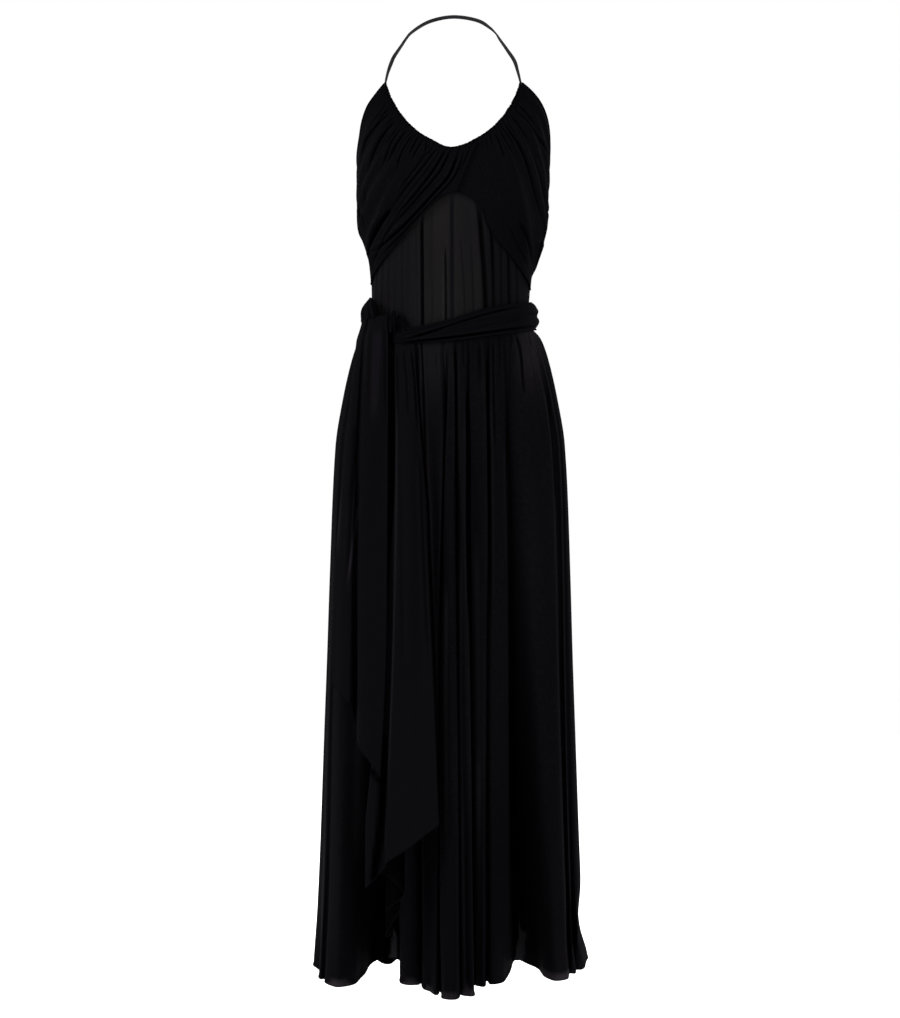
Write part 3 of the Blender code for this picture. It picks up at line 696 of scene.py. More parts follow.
# %% Cups
CUP_COLUMNS, CUP_ROWS = 280, 124
CUP_WIDE, CUP_TALL = 230, 150
CUP_LIFT, DRAWN_LIFT, UNDER_LIFT = 3.6, 0.9, 2.6  # off the figure: usual, at drawn-in seams, under the lap
LAP_RISE, LAP_SHARE = 3.6, 0.3
FREE_FROM, FREE_OVER = 0.22, 0.12
CREASED_UNDER, CREASED_DRAWN = 0.25, 0.4  # how much of the creases is left there
# the depth at which a crease's painted shade on the cups is full
CUP_SHADE_DEPTH = 3.0
NECK_SPANS, EDGE_SPANS = 8, 6
NECK_GATHERS = {
    # spacing, length, height, start of the wave
    "right": (5.3, 22, 0.9, 0.0),
    "left": (5.3, 22, 0.9, 0.4),
}
# painted shade low on the outer side of the left cup
CUP_SHADE_SPOTS = {"right": (), "left": (((112, 26), (-350, 42), -0.13),)}
cup_grids = {}
for side, way in (("right", -1), ("left", 1)):
    neck = [on_figure(*at) for at in CENTRE_TOP[side]] + [on_figure(MIDDLE + way * x, z) for x, z in NECKLINE]
    neck = curve_through(neck, NECK_SPANS)
    armhole = curve_through([(way * angle, z) for angle, z in ARMHOLE[side]], EDGE_SPANS)
    lower = curve_through([on_figure(*at) for at in LOWER[side]], EDGE_SPANS)
    bottom = [on_figure(*CENTRE_FOOT[side]), *lower[1:], (way * SIDE_ANGLE, SIDE_END[side]), armhole[-1]]
    across, down = np.linspace(0, 1, CUP_COLUMNS), np.linspace(0, 1, CUP_ROWS)
    places = patch(neck, bottom, [neck[0], bottom[0]], [neck[-1], *armhole], across, down)
    angle, height = places[..., 0], places[..., 1]
    across, down = np.broadcast_arrays(across[None, :], down[:, None])
    drawn = drawn_in(angle, height)
    lift = CUP_LIFT + fold_lift(CUP_FOLDS[side], across, down)
    lift = lift + (DRAWN_LIFT - lift) * drawn
    creased = np.ones_like(across)
    if side == "left":
        free = np.clip((across - FREE_FROM) / FREE_OVER, 0, 1)
        lift = UNDER_LIFT + (lift - UNDER_LIFT) * free
        creased = np.maximum(free, CREASED_UNDER)
    else:
        lift = lift + LAP_RISE * np.maximum(0, 1 - across / LAP_SHARE)
    fine = crease_lift(unrolled(angle, height), height, unrolled_creases(CUP_CREASES[side]))
    fine = fine + gathers(across * CUP_WIDE, down * CUP_TALL, *NECK_GATHERS[side])
    fine = fine * creased * (1 - (1 - CREASED_DRAWN) * drawn)
    x = torso_point(angle, height, 0.0)[..., 0]
    # painted shade in the folds and creases, and at the spots
    light_and_shade = painted_fold_shade(fine, CUP_SHADE_DEPTH) + painted_spots(x, height, CUP_SHADE_SPOTS[side])
    # columns run towards the wearer's left on both cups, so that the outward side is the same
    grid = torso_point(angle, height, lift + fine)[:, ::way]
    cloth(f"{side}_cup_cloth", grid, BLACK, light_and_shade[:, ::way])
    cup_grids[side] = grid

# %% [markdown]
# The neckline is a casing: the cups' top edges are turned over the tape and drawn up on it, so they show a
# row of small bumps. The armholes and lower edges are only rolled.

# %% Cup edges
CASING_POINTS, LOWER_POINTS = 240, 160
CASING_MM = 190
CASING_RADIUS, ARMHOLE_RADIUS, ROLL_RADIUS = 1.1, 0.8, 0.7
round_casing = np.linspace(0, 1, CASING_POINTS) * CASING_MM
wander = 1.3 * np.sin(round_casing / 9)
bumps = 0.2 * np.sin(round_casing * 2 * math.pi / 4.7 + wander) * (0.6 + 0.4 * np.sin(round_casing / 6.1))
bumps += 0.12 * np.sin(round_casing * 2 * math.pi / 7.9 + 1.0)
for side, grid in cup_grids.items():
    neckline = along(grid[0], np.linspace(0, 1, CASING_POINTS))
    rolled_edge(f"neck_casing_{side}", neckline, CASING_RADIUS, BLACK, bumps)
    rolled_edge(f"armhole_edge_{side}", grid[:, 0 if side == "right" else -1], ARMHOLE_RADIUS, BLACK)
    rolled_edge(f"lower_edge_{side}", along(grid[-1], np.linspace(0, 1, LOWER_POINTS)), ROLL_RADIUS, BLACK)

# %% [markdown]
# The midriff is one layer of chiffon, gathered into the cups above and into the waist below, so it falls in
# many fine upright folds. It is see-through, and that is painted: painted light makes its flat places grey,
# and painted shade makes its folds dark. The folds are a sum of placed creases and a fine wandering ripple.
# It ends along the middle of the sash, which covers the seam.

# %% Midriff
SASH_LINE = (
    # angle from the front towards +X, height of its middle, height of the band
    (-180, -452, 40),
    (-95, -456, 34),
    (-62, -471, 26),
    (-50, -480, 26),
    (-42, -483, 32),
    (-36, -480, 42),
    (-28, -491, 25),
    (-2, -484, 32),
    (28, -470, 41),
    (72, -459, 42),
    (110, -455, 42),
    (180, -452, 40),
)
MIDRIFF_CREASES = (
    # half width, depth, X and height of each point of its line
    (3, 1.5, 2, -200, 3, -367, 4, -560),
    (2.2, 4.8, -42, -240, -41, -381, -40, -600),
    (1.5, 0.8, -49, -300, -48, -440, -45, -560),
    (1.4, 2.8, -7, -350, -6, -433, -6, -560),
    (1.2, 0.5, -11, -330, -11, -433, -12, -560),
    (3.4, 0.4, -26, -260, -27, -396, -25, -520),
    (1.6, 0.7, 13, -330, 20, -410, 26, -540),
    (1.8, 0.7, 30, -340, 34, -420, 37, -560),
    (4, 3.6, 38, -240, 46, -345, 52, -420, 58, -560),
    (2.8, 3.4, 57, -260, 63, -396, 65, -560),
    (1.6, 1.4, 73, -300, 75, -400, 76, -560),
    (2, 3, 84, -320, 87, -400, 88, -560),
    (1.5, 1.5, 97, -330, 99, -400, 99, -560),
    (1.8, 0.2, -60, -250, -62, -411, -60, -560),
    (1.5, 0.35, -70, -280, -71, -440, -69, -560),
    (1.4, 0.3, -79, -300, -82, -440, -79, -560),
    (1.6, 0.6, -89, -320, -91, -425, -89, -560),
    (1.4, 0.6, -98, -330, -101, -450, -100, -560),
    (1.4, 0.5, -107, -340, -110, -450, -109, -560),
)
MIDRIFF_COLUMNS, MIDRIFF_ROWS = 260, 60
MIDRIFF_WIDE, MIDRIFF_TALL = 300, 120
MIDRIFF_UNDER_CUPS = 5
UNDER_CORNERS = 4
UNDER_SHARE, UNDER_BY = 0.12, 0.8  # its share under the cups, and how far in it lies there
SEAM_SHARE = 0.05  # next to the side seams, where folds are stitched flat
MIDRIFF_DEEPEST, MIDRIFF_HIGHEST = -3.2, 1.1
# the depth at which a fold's painted shade is full, and the usual level, raised by painted light
MIDRIFF_SHADE_DEPTH, MIDRIFF_OPEN = 2.8, 0.56
WAIST_GATHERS = (8.7, 40, 0.22)
BUST_GATHERS = (9.6, 36, 0.2, 1.0)
MIDRIFF_LIGHT_SPOTS = (
    # X of its middle and half width, its height and half height, how much painted light
    ((-16, 16), (-325, 40), 0.07),
    ((-98, 13), (-455, 16), 0.22),
    ((-10.5, 1.6), (-440, 55, 4), 0.2),
)
MIDRIFF_BANDS = (
    # X of its middle and half width, how much painted light all the way down; below 0, painted shade
    ((1, 50, 4), 0.15),
    ((25, 13), -0.0675),
)
# painted shade over the wearer's left side of the midriff
LEFT_FROM, LEFT_OVER, LEFT_DARKER = 40, 22, 0.14


def seam_height(angle):
    return smooth(SASH_LINE, 1, angle)


right_edge, left_edge = ([on_figure(*at) for at in LOWER[side][:-1]] for side in ("right", "left"))
top = [(angle, z + MIDRIFF_UNDER_CUPS) for angle, z in (*right_edge[::-1], *left_edge[1:])]
top = [(-SIDE_ANGLE, SIDE_END["right"] + UNDER_CORNERS), *top, (SIDE_ANGLE, SIDE_END["left"] + UNDER_CORNERS)]
share = np.linspace(0, 1, MIDRIFF_COLUMNS)
down = np.linspace(0, 1, MIDRIFF_ROWS)[:, None]
top_angle, top_height = along(top, share).T
low_angle = -SIDE_ANGLE + 2 * SIDE_ANGLE * share
angle = top_angle + (low_angle - top_angle) * down
height = top_height + (seam_height(low_angle) - top_height) * down
x = torso_point(angle, height, 0.0)[..., 0]
ripple = gathers(share * MIDRIFF_WIDE, (1 - down) * MIDRIFF_TALL, *WAIST_GATHERS)
ripple = ripple + gathers(share * MIDRIFF_WIDE, down * MIDRIFF_TALL, *BUST_GATHERS)
at_seams = np.clip(np.minimum(share, 1 - share) / SEAM_SHARE, 0, 1)
out = np.clip(down / UNDER_SHARE, 0, 1)
fine = crease_lift(x, height, MIDRIFF_CREASES) + ripple
fine = np.clip(fine, MIDRIFF_DEEPEST, MIDRIFF_HIGHEST) * at_seams * out
# painted light at spots and in bands, painted shade on the wearer's left side, and painted shade in the folds
light = painted_spots(x, height, MIDRIFF_LIGHT_SPOTS) + sum(lighter * bell(x, *band) for band, lighter in MIDRIFF_BANDS)
light = light - LEFT_DARKER * ease((x - LEFT_FROM) / LEFT_OVER)
grid = torso_point(angle, height, fine - UNDER_BY * (1 - out))
cloth("midriff_cloth", grid, SHEER, painted_fold_shade(fine, MIDRIFF_SHADE_DEPTH, MIDRIFF_OPEN + light))

# %% [markdown]
# The back is cut low and plain, in the same black cloth, with a rolled top edge. It meets the cups and the
# midriff at the side seams. It is drawn in at both seams and at the waist, so soft drag lines start there.

# %% Back of the bodice
BACK_TOP = ((96, -238), (115, -262), (140, -300), (165, -326), (180, -330))
BACK_LIFT = ((-456, 0.3), (-415, 0.6), (-380, 3.0), (-238, 3.4))
BACK_DRAGS = (
    # half width, depth, distance round from the left side seam and height of each point of its line
    (2.4, 1.2, 8, -300, 52, -330, 98, -340),
    (2.8, 1.4, 6, -344, 60, -366, 120, -372),
    (2.4, 1, 10, -398, 70, -404, 128, -398),
    (2.2, 1.1, 322, -290, 286, -322, 250, -336),
    (3, 1.5, 326, -352, 270, -376, 222, -380),
    (2.2, 0.9, 320, -412, 262, -414, 214, -402),
    (2, 1.1, 120, -446, 132, -412, 138, -380),
    (2.2, 1.3, 158, -446, 156, -398, 161, -362),
    (1.8, 0.9, 190, -446, 184, -420),
    (2.2, 1.2, 214, -446, 204, -404, 196, -370),
)
BACK_COLUMNS, BACK_ROWS = 200, 50
BACK_WIDE, BACK_TALL = 330, 120
BACK_GATHERS = (9.7, 22, 0.3, 0.8)
BACK_ROLL_RADIUS = 0.9
SEAM_TUCK = 0.3
# the depth at which a fold's painted shade on the back is full
BACK_SHADE_DEPTH = 2.0
share = np.linspace(0, 1, BACK_COLUMNS)
down = np.linspace(0, 1, BACK_ROWS)[:, None]
angle = SIDE_ANGLE + (360 - 2 * SIDE_ANGLE) * share
angle = np.where(angle <= 180, angle, angle - 360)
top = smooth(BACK_TOP, 1, np.abs(angle))
height = top + (seam_height(angle) - top) * down
angle, around = np.broadcast_arrays(angle, share * BACK_WIDE + 0 * down)
drag = 0.55 * np.sin(around / 23 + down * 2.2) * np.sin(math.pi * share) * down
ripple = gathers(around, (1 - down) * BACK_TALL, *BACK_GATHERS) + crease_lift(around, height, BACK_DRAGS)
ripple = ripple * np.clip(np.minimum(share, 1 - share) / SEAM_SHARE, 0, 1)
lift = smooth(BACK_LIFT, 1, height)
lift = lift + (np.minimum(lift, DRAWN_LIFT) - lift) * drawn_in(angle, height)
grid = torso_point(angle, height, lift + drag + ripple)
for end, inner in ((0, 1), (-1, -2)):
    grid[:, end] += (grid[:, inner] - grid[:, end]) * SEAM_TUCK
# painted shade in the gathers and drag lines
cloth("back_cloth", grid, BLACK, painted_fold_shade(ripple, BACK_SHADE_DEPTH))
rolled_edge("back_top_edge", along(grid[0], share), BACK_ROLL_RADIUS, BLACK)

# %% [markdown]
# The neck tape is a bias strip, folded and stitched to 5.5 mm wide. It twists as it goes up, so it shows
# now its face and now its edge. It is swept flat along its route, with its corners rounded, and a groove
# along one face where its folded edges meet. Both ends go into the points of the cups.

# %% Neck tape
TAPE_WIDTH = 5.5
TAPE_THICK = 1.6
TAPE_SIDE_MM = 1.2
TAPE_OPEN = 0.78
TAPE_TUCK = 4.0
TAPE_ROUTE = (
    # x, y, height, turn of the tape in degrees
    (-92, -47, -98, 50),
    (-87, -42, -83, 10),
    (-84, -37, -75, 25),
    (-74, -22, -57, 50),
    (-65, -8, -41, 64),
    (-59.5, -1, -33, 58),
    (-30, 32, -9, 30),
    (5, 45, 0, 0),
    (42, 32, -8, 12),
    (61, 12, -23, 66),
    (68.5, 3, -32, 88),
    (74, -6, -42, 66),
    (86, -27, -63, 40),
    (96, -40, -81, 12),
    (100.5, -47, -97, 50),
)
HALF_SECTION = ((0.42, -0.5), (0.5, -0.2), (0.5, 0.2), (0.42, 0.5), (0.36, 0.36))  # of width and thickness
TAPE_SPANS = 16


def cup_tip(side, way):
    """The middle of a cup's point, a little inside it, and the turn of the tape there."""
    x, height = NECKLINE[-1]
    inner = torso_point(angle_at(MIDDLE + way * x, height), height, CUP_LIFT)
    angle, height = ARMHOLE[side][0]
    outer = torso_point(way * angle, height, CUP_LIFT)
    x, y, height = (inner + outer) / 2
    return x, y, height - TAPE_TUCK, 80


stations = [cup_tip("right", -1), *TAPE_ROUTE, cup_tip("left", 1)]
route = curve_through([point[:3] for point in stations], TAPE_SPANS)
places = np.arange(len(route)) / TAPE_SPANS
turn = np.radians(np.interp(places, np.arange(len(stations)), [at[3] for at in stations]))[:, None]
ahead = directions(route)
across = beside(ahead, (0.0, -1.0, 0.0))
deep = np.cross(ahead, across)
flat_way = across * np.cos(turn) + deep * np.sin(turn)
section = np.roll([*HALF_SECTION, *((-x, y) for x, y in HALF_SECTION[::-1])], 2, axis=0)
section = section * (TAPE_WIDTH, TAPE_THICK)
offsets = flat_way[:, None] * section[:, :1] + np.cross(ahead, flat_way)[:, None] * section[:, 1:]
sweep("neck_tape", route, offsets, TAPE, np.arange(len(section)) * TAPE_SIDE_MM, TAPE_OPEN)

# %% [markdown]
# The skirt is cut full and flared and gathered into the waist, so its cloth stands in folds that deepen
# towards the hem. Each ridge and each valley is one row of a table: where it is across the dress at four
# heights, how far forward it ends at the hem, and how much it is pinched at the hips. Smooth rings through
# all the rows give the cloth, front and back in one round, which is then split at the side seams. The hem
# follows from the cloth's length: a fold that swings further out ends higher.

# %% Skirt sizes
SKIRT = (
    # height, half breadth, front, back
    (-455, 119, 89, 87),
    (-475, 125, 92, 90),
    (-492, 138, 97, 96),
    (-528, 150, 104, 104),
    (-590, 162, 113, 116),
    (-655, 171, 120, 126),
    (-850, 180, 136, 142),
    (-1000, 185, 148, 156),
    (-1250, 195, 169, 180),
    (-1451, 207, 188, 206),
)
HEM = -1451
LOWEST_HEM = -1456
CLOTH_LENGTH = 985
LINE_HEIGHTS = (-470, -655, -1000, -1451)
FRONT_LINES = (
    # x at waist, x at hip, x at knee, x at hem, y at hem, crease at the hip
    (-119, -172, -187, -208, 100, 0),
    (-114, -167, -183, -200, 56, 0),
    (-111, -162.5, -178, -194, 4, 0),
    (-109, -159, -174.5, -189.5, 6, 2),
    (-106, -155, -170, -185, -26, 0),
    (-102, -147, -159, -168, -56, 0),
    (-93, -128, -139, -146, -27, 3),
    (-84, -110, -122, -132, 26, 3),
    (-75, -95, -103, -108, 112, 8),
    (-67, -82, -88, -83, 112, 8),
    (-64, -75, -78, -70, -14, 0),
    (-59, -64, -64, -59, -30, 0),
    (-55, -55, -51, -46, -27, 0),
    (-52, -51, -47, -42, 16, 0),
    (-49, -47, -43, -37, -62, 0),
    (-38, -35.5, -35, -31, -78, 0),
    (-26, -24, -27, -25, -93, 0),
    (-14, -12, -19, -19.5, -108, 0),
    (-9, -7, -15, -15.5, -55, 8),
    (-6, -3.5, -11, -12, -138, 0),
    (-1, 1, -1, 0, -160, 0),
    (3, 4.5, 7, 9.5, -156, 0),
    (7, 9, 11.5, 14, -60, 8),
    (11, 13.5, 16.5, 18.5, -112, 0),
    (20, 22.5, 26.5, 33, -122, 0),
    (23.5, 25.5, 30, 34.5, -15, 6),
    (27, 28.5, 33, 38.5, -34, 0),
    (46, 52, 49, 49.5, -42, 0),
    (50, 57, 54.5, 55, -6, 10),
    (54, 62, 59.5, 61, -24, 0),
    (61, 67, 68, 72, -16, 0),
    (70, 79, 84, 87, 18, 0),
    (76, 83, 90, 103, 112, 2),
    (84, 92, 102, 127, 84, 0),
    (93, 113, 127, 146, 18, 0),
    (100, 138, 148, 158, 0, 0),
    (104, 149.5, 160.5, 175.5, 8, 0),
    (107, 155.5, 167, 182, 62, 8),
    (110.5, 161.5, 171.5, 186, 44, 0),
    (113, 164.5, 175.5, 190, 82, 4),
    (116, 167.5, 180.5, 196, 72, 0),
    (119, 172, 187, 208, 126, 0),
)
BACK_LINES = (
    (110, 160, 174, 196, 166, 0),
    (101, 147, 157, 168, 132, 6),
    (90, 126, 134, 140, 200, 0),
    (74, 100, 104, 106, 170, 5),
    (58, 76, 76, 76, 208, 0),
    (40, 50, 47, 46, 150, 9),
    (22, 22, 14, 11, 203, 0),
    (2, -7, -20, -28, 176, 5),
    (-18, -34, -50, -64, 212, 0),
    (-40, -62, -82, -96, 148, 9),
    (-64, -96, -116, -132, 192, 0),
    (-86, -127, -144, -160, 152, 5),
    (-104, -152, -173, -195, 156, 0),
)
PINCH_AT, PINCH_HALF, PINCH_FROM = 0.2, 0.22, 0.06  # shares of the way down where a pinched fold is narrowest
SWING_POWER = 1.4


def ring_y(side, x, height):
    """Y of the plain flared skirt: side is its column in the table, 2 for the front and 3 for the back."""
    share = x / (smooth(SKIRT, 1, height) + 1)
    y = smooth(SKIRT, side, height) * np.sqrt(np.maximum(0.0, 1 - share**2))
    return y if side == 3 else -y


def skirt_line(line, at):
    """X and Y of one ridge or valley at every height in `at`."""
    *x_at, y_hem, crease = line
    shares = [(height, x / float(smooth(SKIRT, 1, height))) for height, x in zip(LINE_HEIGHTS, x_at)]
    x = smooth(shares, 1, at) * smooth(SKIRT, 1, at)
    side, inward = (3, -1) if line in BACK_LINES else (2, 1)
    down = np.maximum(0.0, (LINE_HEIGHTS[0] - at) / (LINE_HEIGHTS[0] - HEM))
    pinch = crease * bell(down, PINCH_AT, PINCH_HALF) * (1 - bell(down, 0, PINCH_FROM))
    y = ring_y(side, x, at) + inward * pinch + (y_hem - ring_y(side, x_at[-1], HEM)) * down**SWING_POWER
    return np.stack((x, y), -1)


# %% Skirt rings
SKIRT_SPANS = 7
SKIRT_TOP_UNDER_SEAM = 1.0
ROW_SHARES = (np.linspace(0, 0.12, 25, endpoint=False), np.linspace(0.12, 0.995, 104), (0.9972, 0.9986, 1.0))
share = np.concatenate(ROW_SHARES)
key = []
for line in FRONT_LINES + BACK_LINES:
    waist, hem = skirt_line(line, np.array((LINE_HEIGHTS[0], HEM), float))
    start = seam_height(math.degrees(math.atan2(waist[0], -waist[1]))) - SKIRT_TOP_UNDER_SEAM
    end = LOWEST_HEM + CLOTH_LENGTH - math.sqrt(CLOTH_LENGTH**2 - float(np.sum((hem - waist) ** 2)))
    height = start + (end - start) * share
    key.append(np.column_stack((skirt_line(line, start + (HEM - start) * share), height)))
ring = curve_through(np.stack(key, 1), SKIRT_SPANS, closed=True)
lowest, highest = ring[-1, :, 2].min(), ring[-1, :, 2].max()
print("skirt ring", ring.shape, "hem from", round(lowest), "to", round(highest), "mm")

# %% [markdown]
# On that main form come the finer folds: the placed creases that start at the waist seam, gathers of uneven
# length under the whole seam, and a slow wandering ripple that keeps broad stretches from looking like
# sheet metal. The hem is a little frilly, because a rolled edge is tight. On the wearer's left it kicks
# out, and the cloth above it falls in.

# %% Finer folds of the skirt
SKIRT_CREASES = (
    # half width, depth, X and height of each point of its line
    (1.5, 4.5, -50, -480, -47.5, -575, -40, -655, -33, -740, -30, -820, -26, -908, -21, -1025, -17, -1130),
    (1.3, 3.4, -43, -480, -40, -550, -37.5, -630, -34, -720),
    (1.8, 4.5, -4, -500, -6, -587, -10, -733, -15, -938),
    (1.8, 4, 7, -499, 9, -587, 9, -733),
    (1.3, 2.2, 19, -497, 20, -543),
    (2.2, 4.4, 25, -560, 26, -655, 26, -762, 29, -938),
    (1.5, 2.5, 42, -494, 44, -557, 45, -645),
    (2.2, 5, 54, -492, 56, -587, 58, -762, 58, -938),
    (1.6, 3, 63, -490, 64, -587, 66, -674),
    (1.3, 1.8, 72, -489, 73, -557),
    (1.8, 1, 80, -489, 83, -587, 85, -733),
    (1.2, 1.6, 91, -487, 89, -516),
    (1.7, 3.4, 97, -485, 104, -516, 107, -546, 110, -587),
    (1.3, 1.2, 116, -482, 121, -513),
    (1.8, 1.6, 142, -557, 152, -645, 158, -762),
)
SKIRT_BACK_CREASES = (
    # half width, depth, X and height of each point of its line
    (2, 3, -96, -500, -106, -610, -118, -790),
    (1.4, 1.8, -70, -502, -76, -570),
    (2.2, 3.6, -52, -502, -60, -660, -74, -930),
    (1.5, 2.2, -31, -502, -34, -600),
    (2.2, 3.8, -12, -502, -20, -720, -30, -1010),
    (1.3, 1.6, 8, -502, 6, -560),
    (1.9, 3, 24, -502, 24, -640, 18, -860),
    (2.3, 4, 47, -502, 54, -680, 58, -980),
    (1.5, 2, 68, -502, 78, -600),
    (2, 3.2, 90, -500, 104, -640, 118, -850),
    (1.6, 1.6, 108, -498, 122, -580),
    (3, 3, -112, -960, -126, -1180, -138, -1430),
    (3, 2.4, -20, -1130, -34, -1290, -44, -1440),
    (3.4, 3.2, 64, -1040, 66, -1240, 68, -1440),
    (2.6, 2.2, 122, -1160, 128, -1300, 133, -1440),
)
SKIRT_GATHERS = (8.3, 75, 1.0)
GATHERS_FROM, GATHERS_OVER = 14, 30
SLOW_MM, SLOW_FROM, SLOW_OVER = 1.1, 60, 200
FRILL_TALL = 130
KICK_OUT, KICK_TALL = 5.0, 45  # at the hem of the wearer's left side
FALL_IN, FALL_AT, FALL_HALF = 6.0, 70, 36  # above it
LEFT_SIDE_FROM, LEFT_SIDE_OVER = 165, 40
ROLL_MM, ROLL_FROM, ROLL_OVER = 0.5, 0.9965, 0.0008
normal = outward(ring, ring=True)
around = np.concatenate(([0.0], np.cumsum(np.linalg.norm(np.diff(ring, axis=1), axis=-1).mean(0))))
down = (share * CLOTH_LENGTH)[:, None]
to_hem = CLOTH_LENGTH - down
x, y, height = np.moveaxis(ring, -1, 0)
fine = np.where((y < 0) & (normal[..., 1] < 0.2), crease_lift(x, height, SKIRT_CREASES), 0.0)
fine = np.where((y > 0) & (normal[..., 1] > -0.2), crease_lift(x, height, SKIRT_BACK_CREASES), fine)
begun = ease((down - GATHERS_FROM) / GATHERS_OVER)
fine = fine + begun * gathers(around, down - 20, *SKIRT_GATHERS)
slow = np.sin(around / 31 + down / 170) * np.sin(around / 53 - down / 240 + 1.0)
fine = fine + SLOW_MM * slow * ease((down - SLOW_FROM) / SLOW_OVER)
frill = 1.5 * np.sin(around / 10.5 + 2.1) + 1.1 * np.sin(around / 5.7 + 0.4 * np.sin(around / 40))
fine = fine + frill * ease(1 - to_hem / FRILL_TALL) ** 2
kick = KICK_OUT * ease(1 - to_hem / KICK_TALL) - FALL_IN * bell(to_hem, FALL_AT, FALL_HALF)
fine = fine + kick * ease((x - LEFT_SIDE_FROM) / LEFT_SIDE_OVER)
hem_roll = ROLL_MM * ease((share - ROLL_FROM) / ROLL_OVER)[:, None]
ring = ring + normal * (fine + hem_roll)[..., None]

# %% [markdown]
# Light and shade are painted on the skirt: painted shade in its valleys and creases, a little painted
# highlight on its ridges, and painted light just below the sash in two places, where it is one layer, along
# the shoulders of the long folds, and in a few painted glimpses of lit cloth through the fold at the hem.
# The outer layer hangs a little below the lining, so the last stretch above the hem is a single layer too,
# shown by painted light: up to 14 mm of it in front, and about three times that behind.

# %% Skirt cloth
BACK_SINGLE_MM = 42
# single-layer stretches above the front hem, shown by painted light
SINGLE_LAYER_LIGHTS = (
    # X of its middle, half width, height above the front hem, how much painted light
    (-164, 19, 7, 0.4),
    (-57, 16, 6, 0.32),
    (-30, 7, 7, 0.4),
    (-4, 16, 11, 0.24),
    (25, 9, 14, 0.4),
    (158, 25, 12, 0.42),
)
# painted light: lit back cloth glimpsed through the fold at the hem, painted on the front cloth
GAP_GLIMPSES = (
    # its corners in X and height, going round against the clock
    ((-88, -1386), (-96, -1447), (-79, -1447), (-78, -1404)),
    ((106, -1390), (98, -1442), (113.5, -1442), (117.5, -1390)),
    ((103.5, -1364), (105, -1394), (109, -1394), (105.5, -1364)),
)
FOLD_LIGHTS = (
    # half width, how much painted highlight, X and height of each point: the shoulder of a fold
    (4, 0.17, -6.5, -840, -7, -1000, -6, -1150, -5, -1290),
    (3.6, 0.27, 13.5, -760, 14, -860, 15, -1080, 17.5, -1245, 20, -1400, 22, -1620),
    (3.8, 0.1, 17, -1150, 18.5, -1300, 21, -1450, 22, -1620),
    (4, 0.06, 38.5, -760, 40.5, -950, 41.5, -1150, 41.5, -1300),
    (4.4, 0.13, 41.5, -1080, 41.5, -1245, 41, -1400, 41, -1620),
    (5, 0.07, 82, -640, 85, -740, 88, -860),
    (9, 0.14, -133, -1040, -134, -1150, -136, -1290),
)
WAIST_LIGHTS = (
    # X of its middle and half width, distance below the seam and half height, how much painted light
    ((-20, 24), (40, 55), 0.0765),
    ((120, 20), (40, 55), 0.171),
)
# painted light that lifts the shade beside the long sash end
BESIDE_TAIL = ((-1000, -24), (-760, -31), (-600, -37), (-490, -44))  # height and X, beside the long sash end
BESIDE_TAIL_LIGHT, BESIDE_TAIL_HALF = 0.08, 7
# painted shade low in the middle of the front
MIDDLE_DARKER, MIDDLE_HALF = 0.06, 62
# painted light on the single-layer stretch above the back hem
BACK_LIGHT = 0.16
# the level of painted light in the glimpses
GLIMPSE_OPEN = 0.97
# the depth of a valley or a crease whose painted shade is quite dark
DEEP_RELIEF, DEEP_CREASE = 17, 6  # a valley or a crease as deep as this looks quite dark


def inside(corners, x, height):
    """How far inside a polygon each place is, in millimetres. Its corners go round against the clock."""
    deep = np.full(x.shape, 1e9)
    for (ax, az), (bx, bz) in zip(corners, corners[1:] + corners[:1]):
        away = (bx - ax) * (height - az) - (bz - az) * (x - ax)
        deep = np.minimum(deep, away / math.hypot(bx - ax, bz - az))
    return deep


x, y, height = np.moveaxis(ring, -1, 0)
tail_x = np.interp(height, *zip(*BESIDE_TAIL))
# painted light at the waist, on fold shoulders and beside the sash end, and painted shade low in the middle
light = painted_spots(x, down, WAIST_LIGHTS) + painted_light_lines(x, height, FOLD_LIGHTS)
light = light + BESIDE_TAIL_LIGHT * bell(x, tail_x, BESIDE_TAIL_HALF) * ease((800 - down) / 300)
light = light - MIDDLE_DARKER * bell(x, 0, MIDDLE_HALF, 4) * ease((down - 640) / 200)
# painted shade in valleys and creases and painted highlight on ridges; the painted light goes on the front
# only
light_and_shade = painted_fold_shade(relief(ring, 8, ring=True) / DEEP_RELIEF + fine / DEEP_CREASE, 1.0) + light * (y < 0)
uneven = BACK_SINGLE_MM * (1 + 0.25 * np.sin(around / 60 + 0.8) + 0.15 * np.sin(around / 23))
# the back gets painted light on its single-layer stretch above the hem
behind = light_and_shade + BACK_LIGHT * ease((uneven - to_hem) / 26)
# painted light on the front's single-layer stretches
for middle, half, tall, lighter in SINGLE_LAYER_LIGHTS:
    tall = tall * np.sqrt(np.maximum(0.0, 1 - ((x - middle) / half) ** 2))
    light_and_shade = light_and_shade + lighter * ease((tall - to_hem) / 3 + 0.3) * (tall > 0.5)
# painted glimpses of lit cloth through the fold
for corners in GAP_GLIMPSES:
    light_and_shade = light_and_shade + (GLIMPSE_OPEN - light_and_shade) * ease(inside(corners, x, height) / 3 + 0.4) * (y < 130)
side = (len(FRONT_LINES) - 1) * SKIRT_SPANS
in_front, in_back = np.arange(side + 1), np.arange(side, ring.shape[1] + 1) % ring.shape[1]
skirt_front, skirt_back = ring[:, in_front], ring[:, in_back]
cloth("skirt_front_cloth", skirt_front, BLACK, light_and_shade[:, in_front])
cloth("skirt_back_cloth", skirt_back, BLACK, behind[:, in_back])

# %% [markdown]
# The sash is a long soft band, folded lengthwise and wrapped once round the waist. Its pleats run along it:
# two clear ones cross the front from the side up to the knot, and finer ones fan out of the knot. Behind
# they only wander. Painted shade lies in its pleats, and where the band goes into the knot it is painted
# darkest.

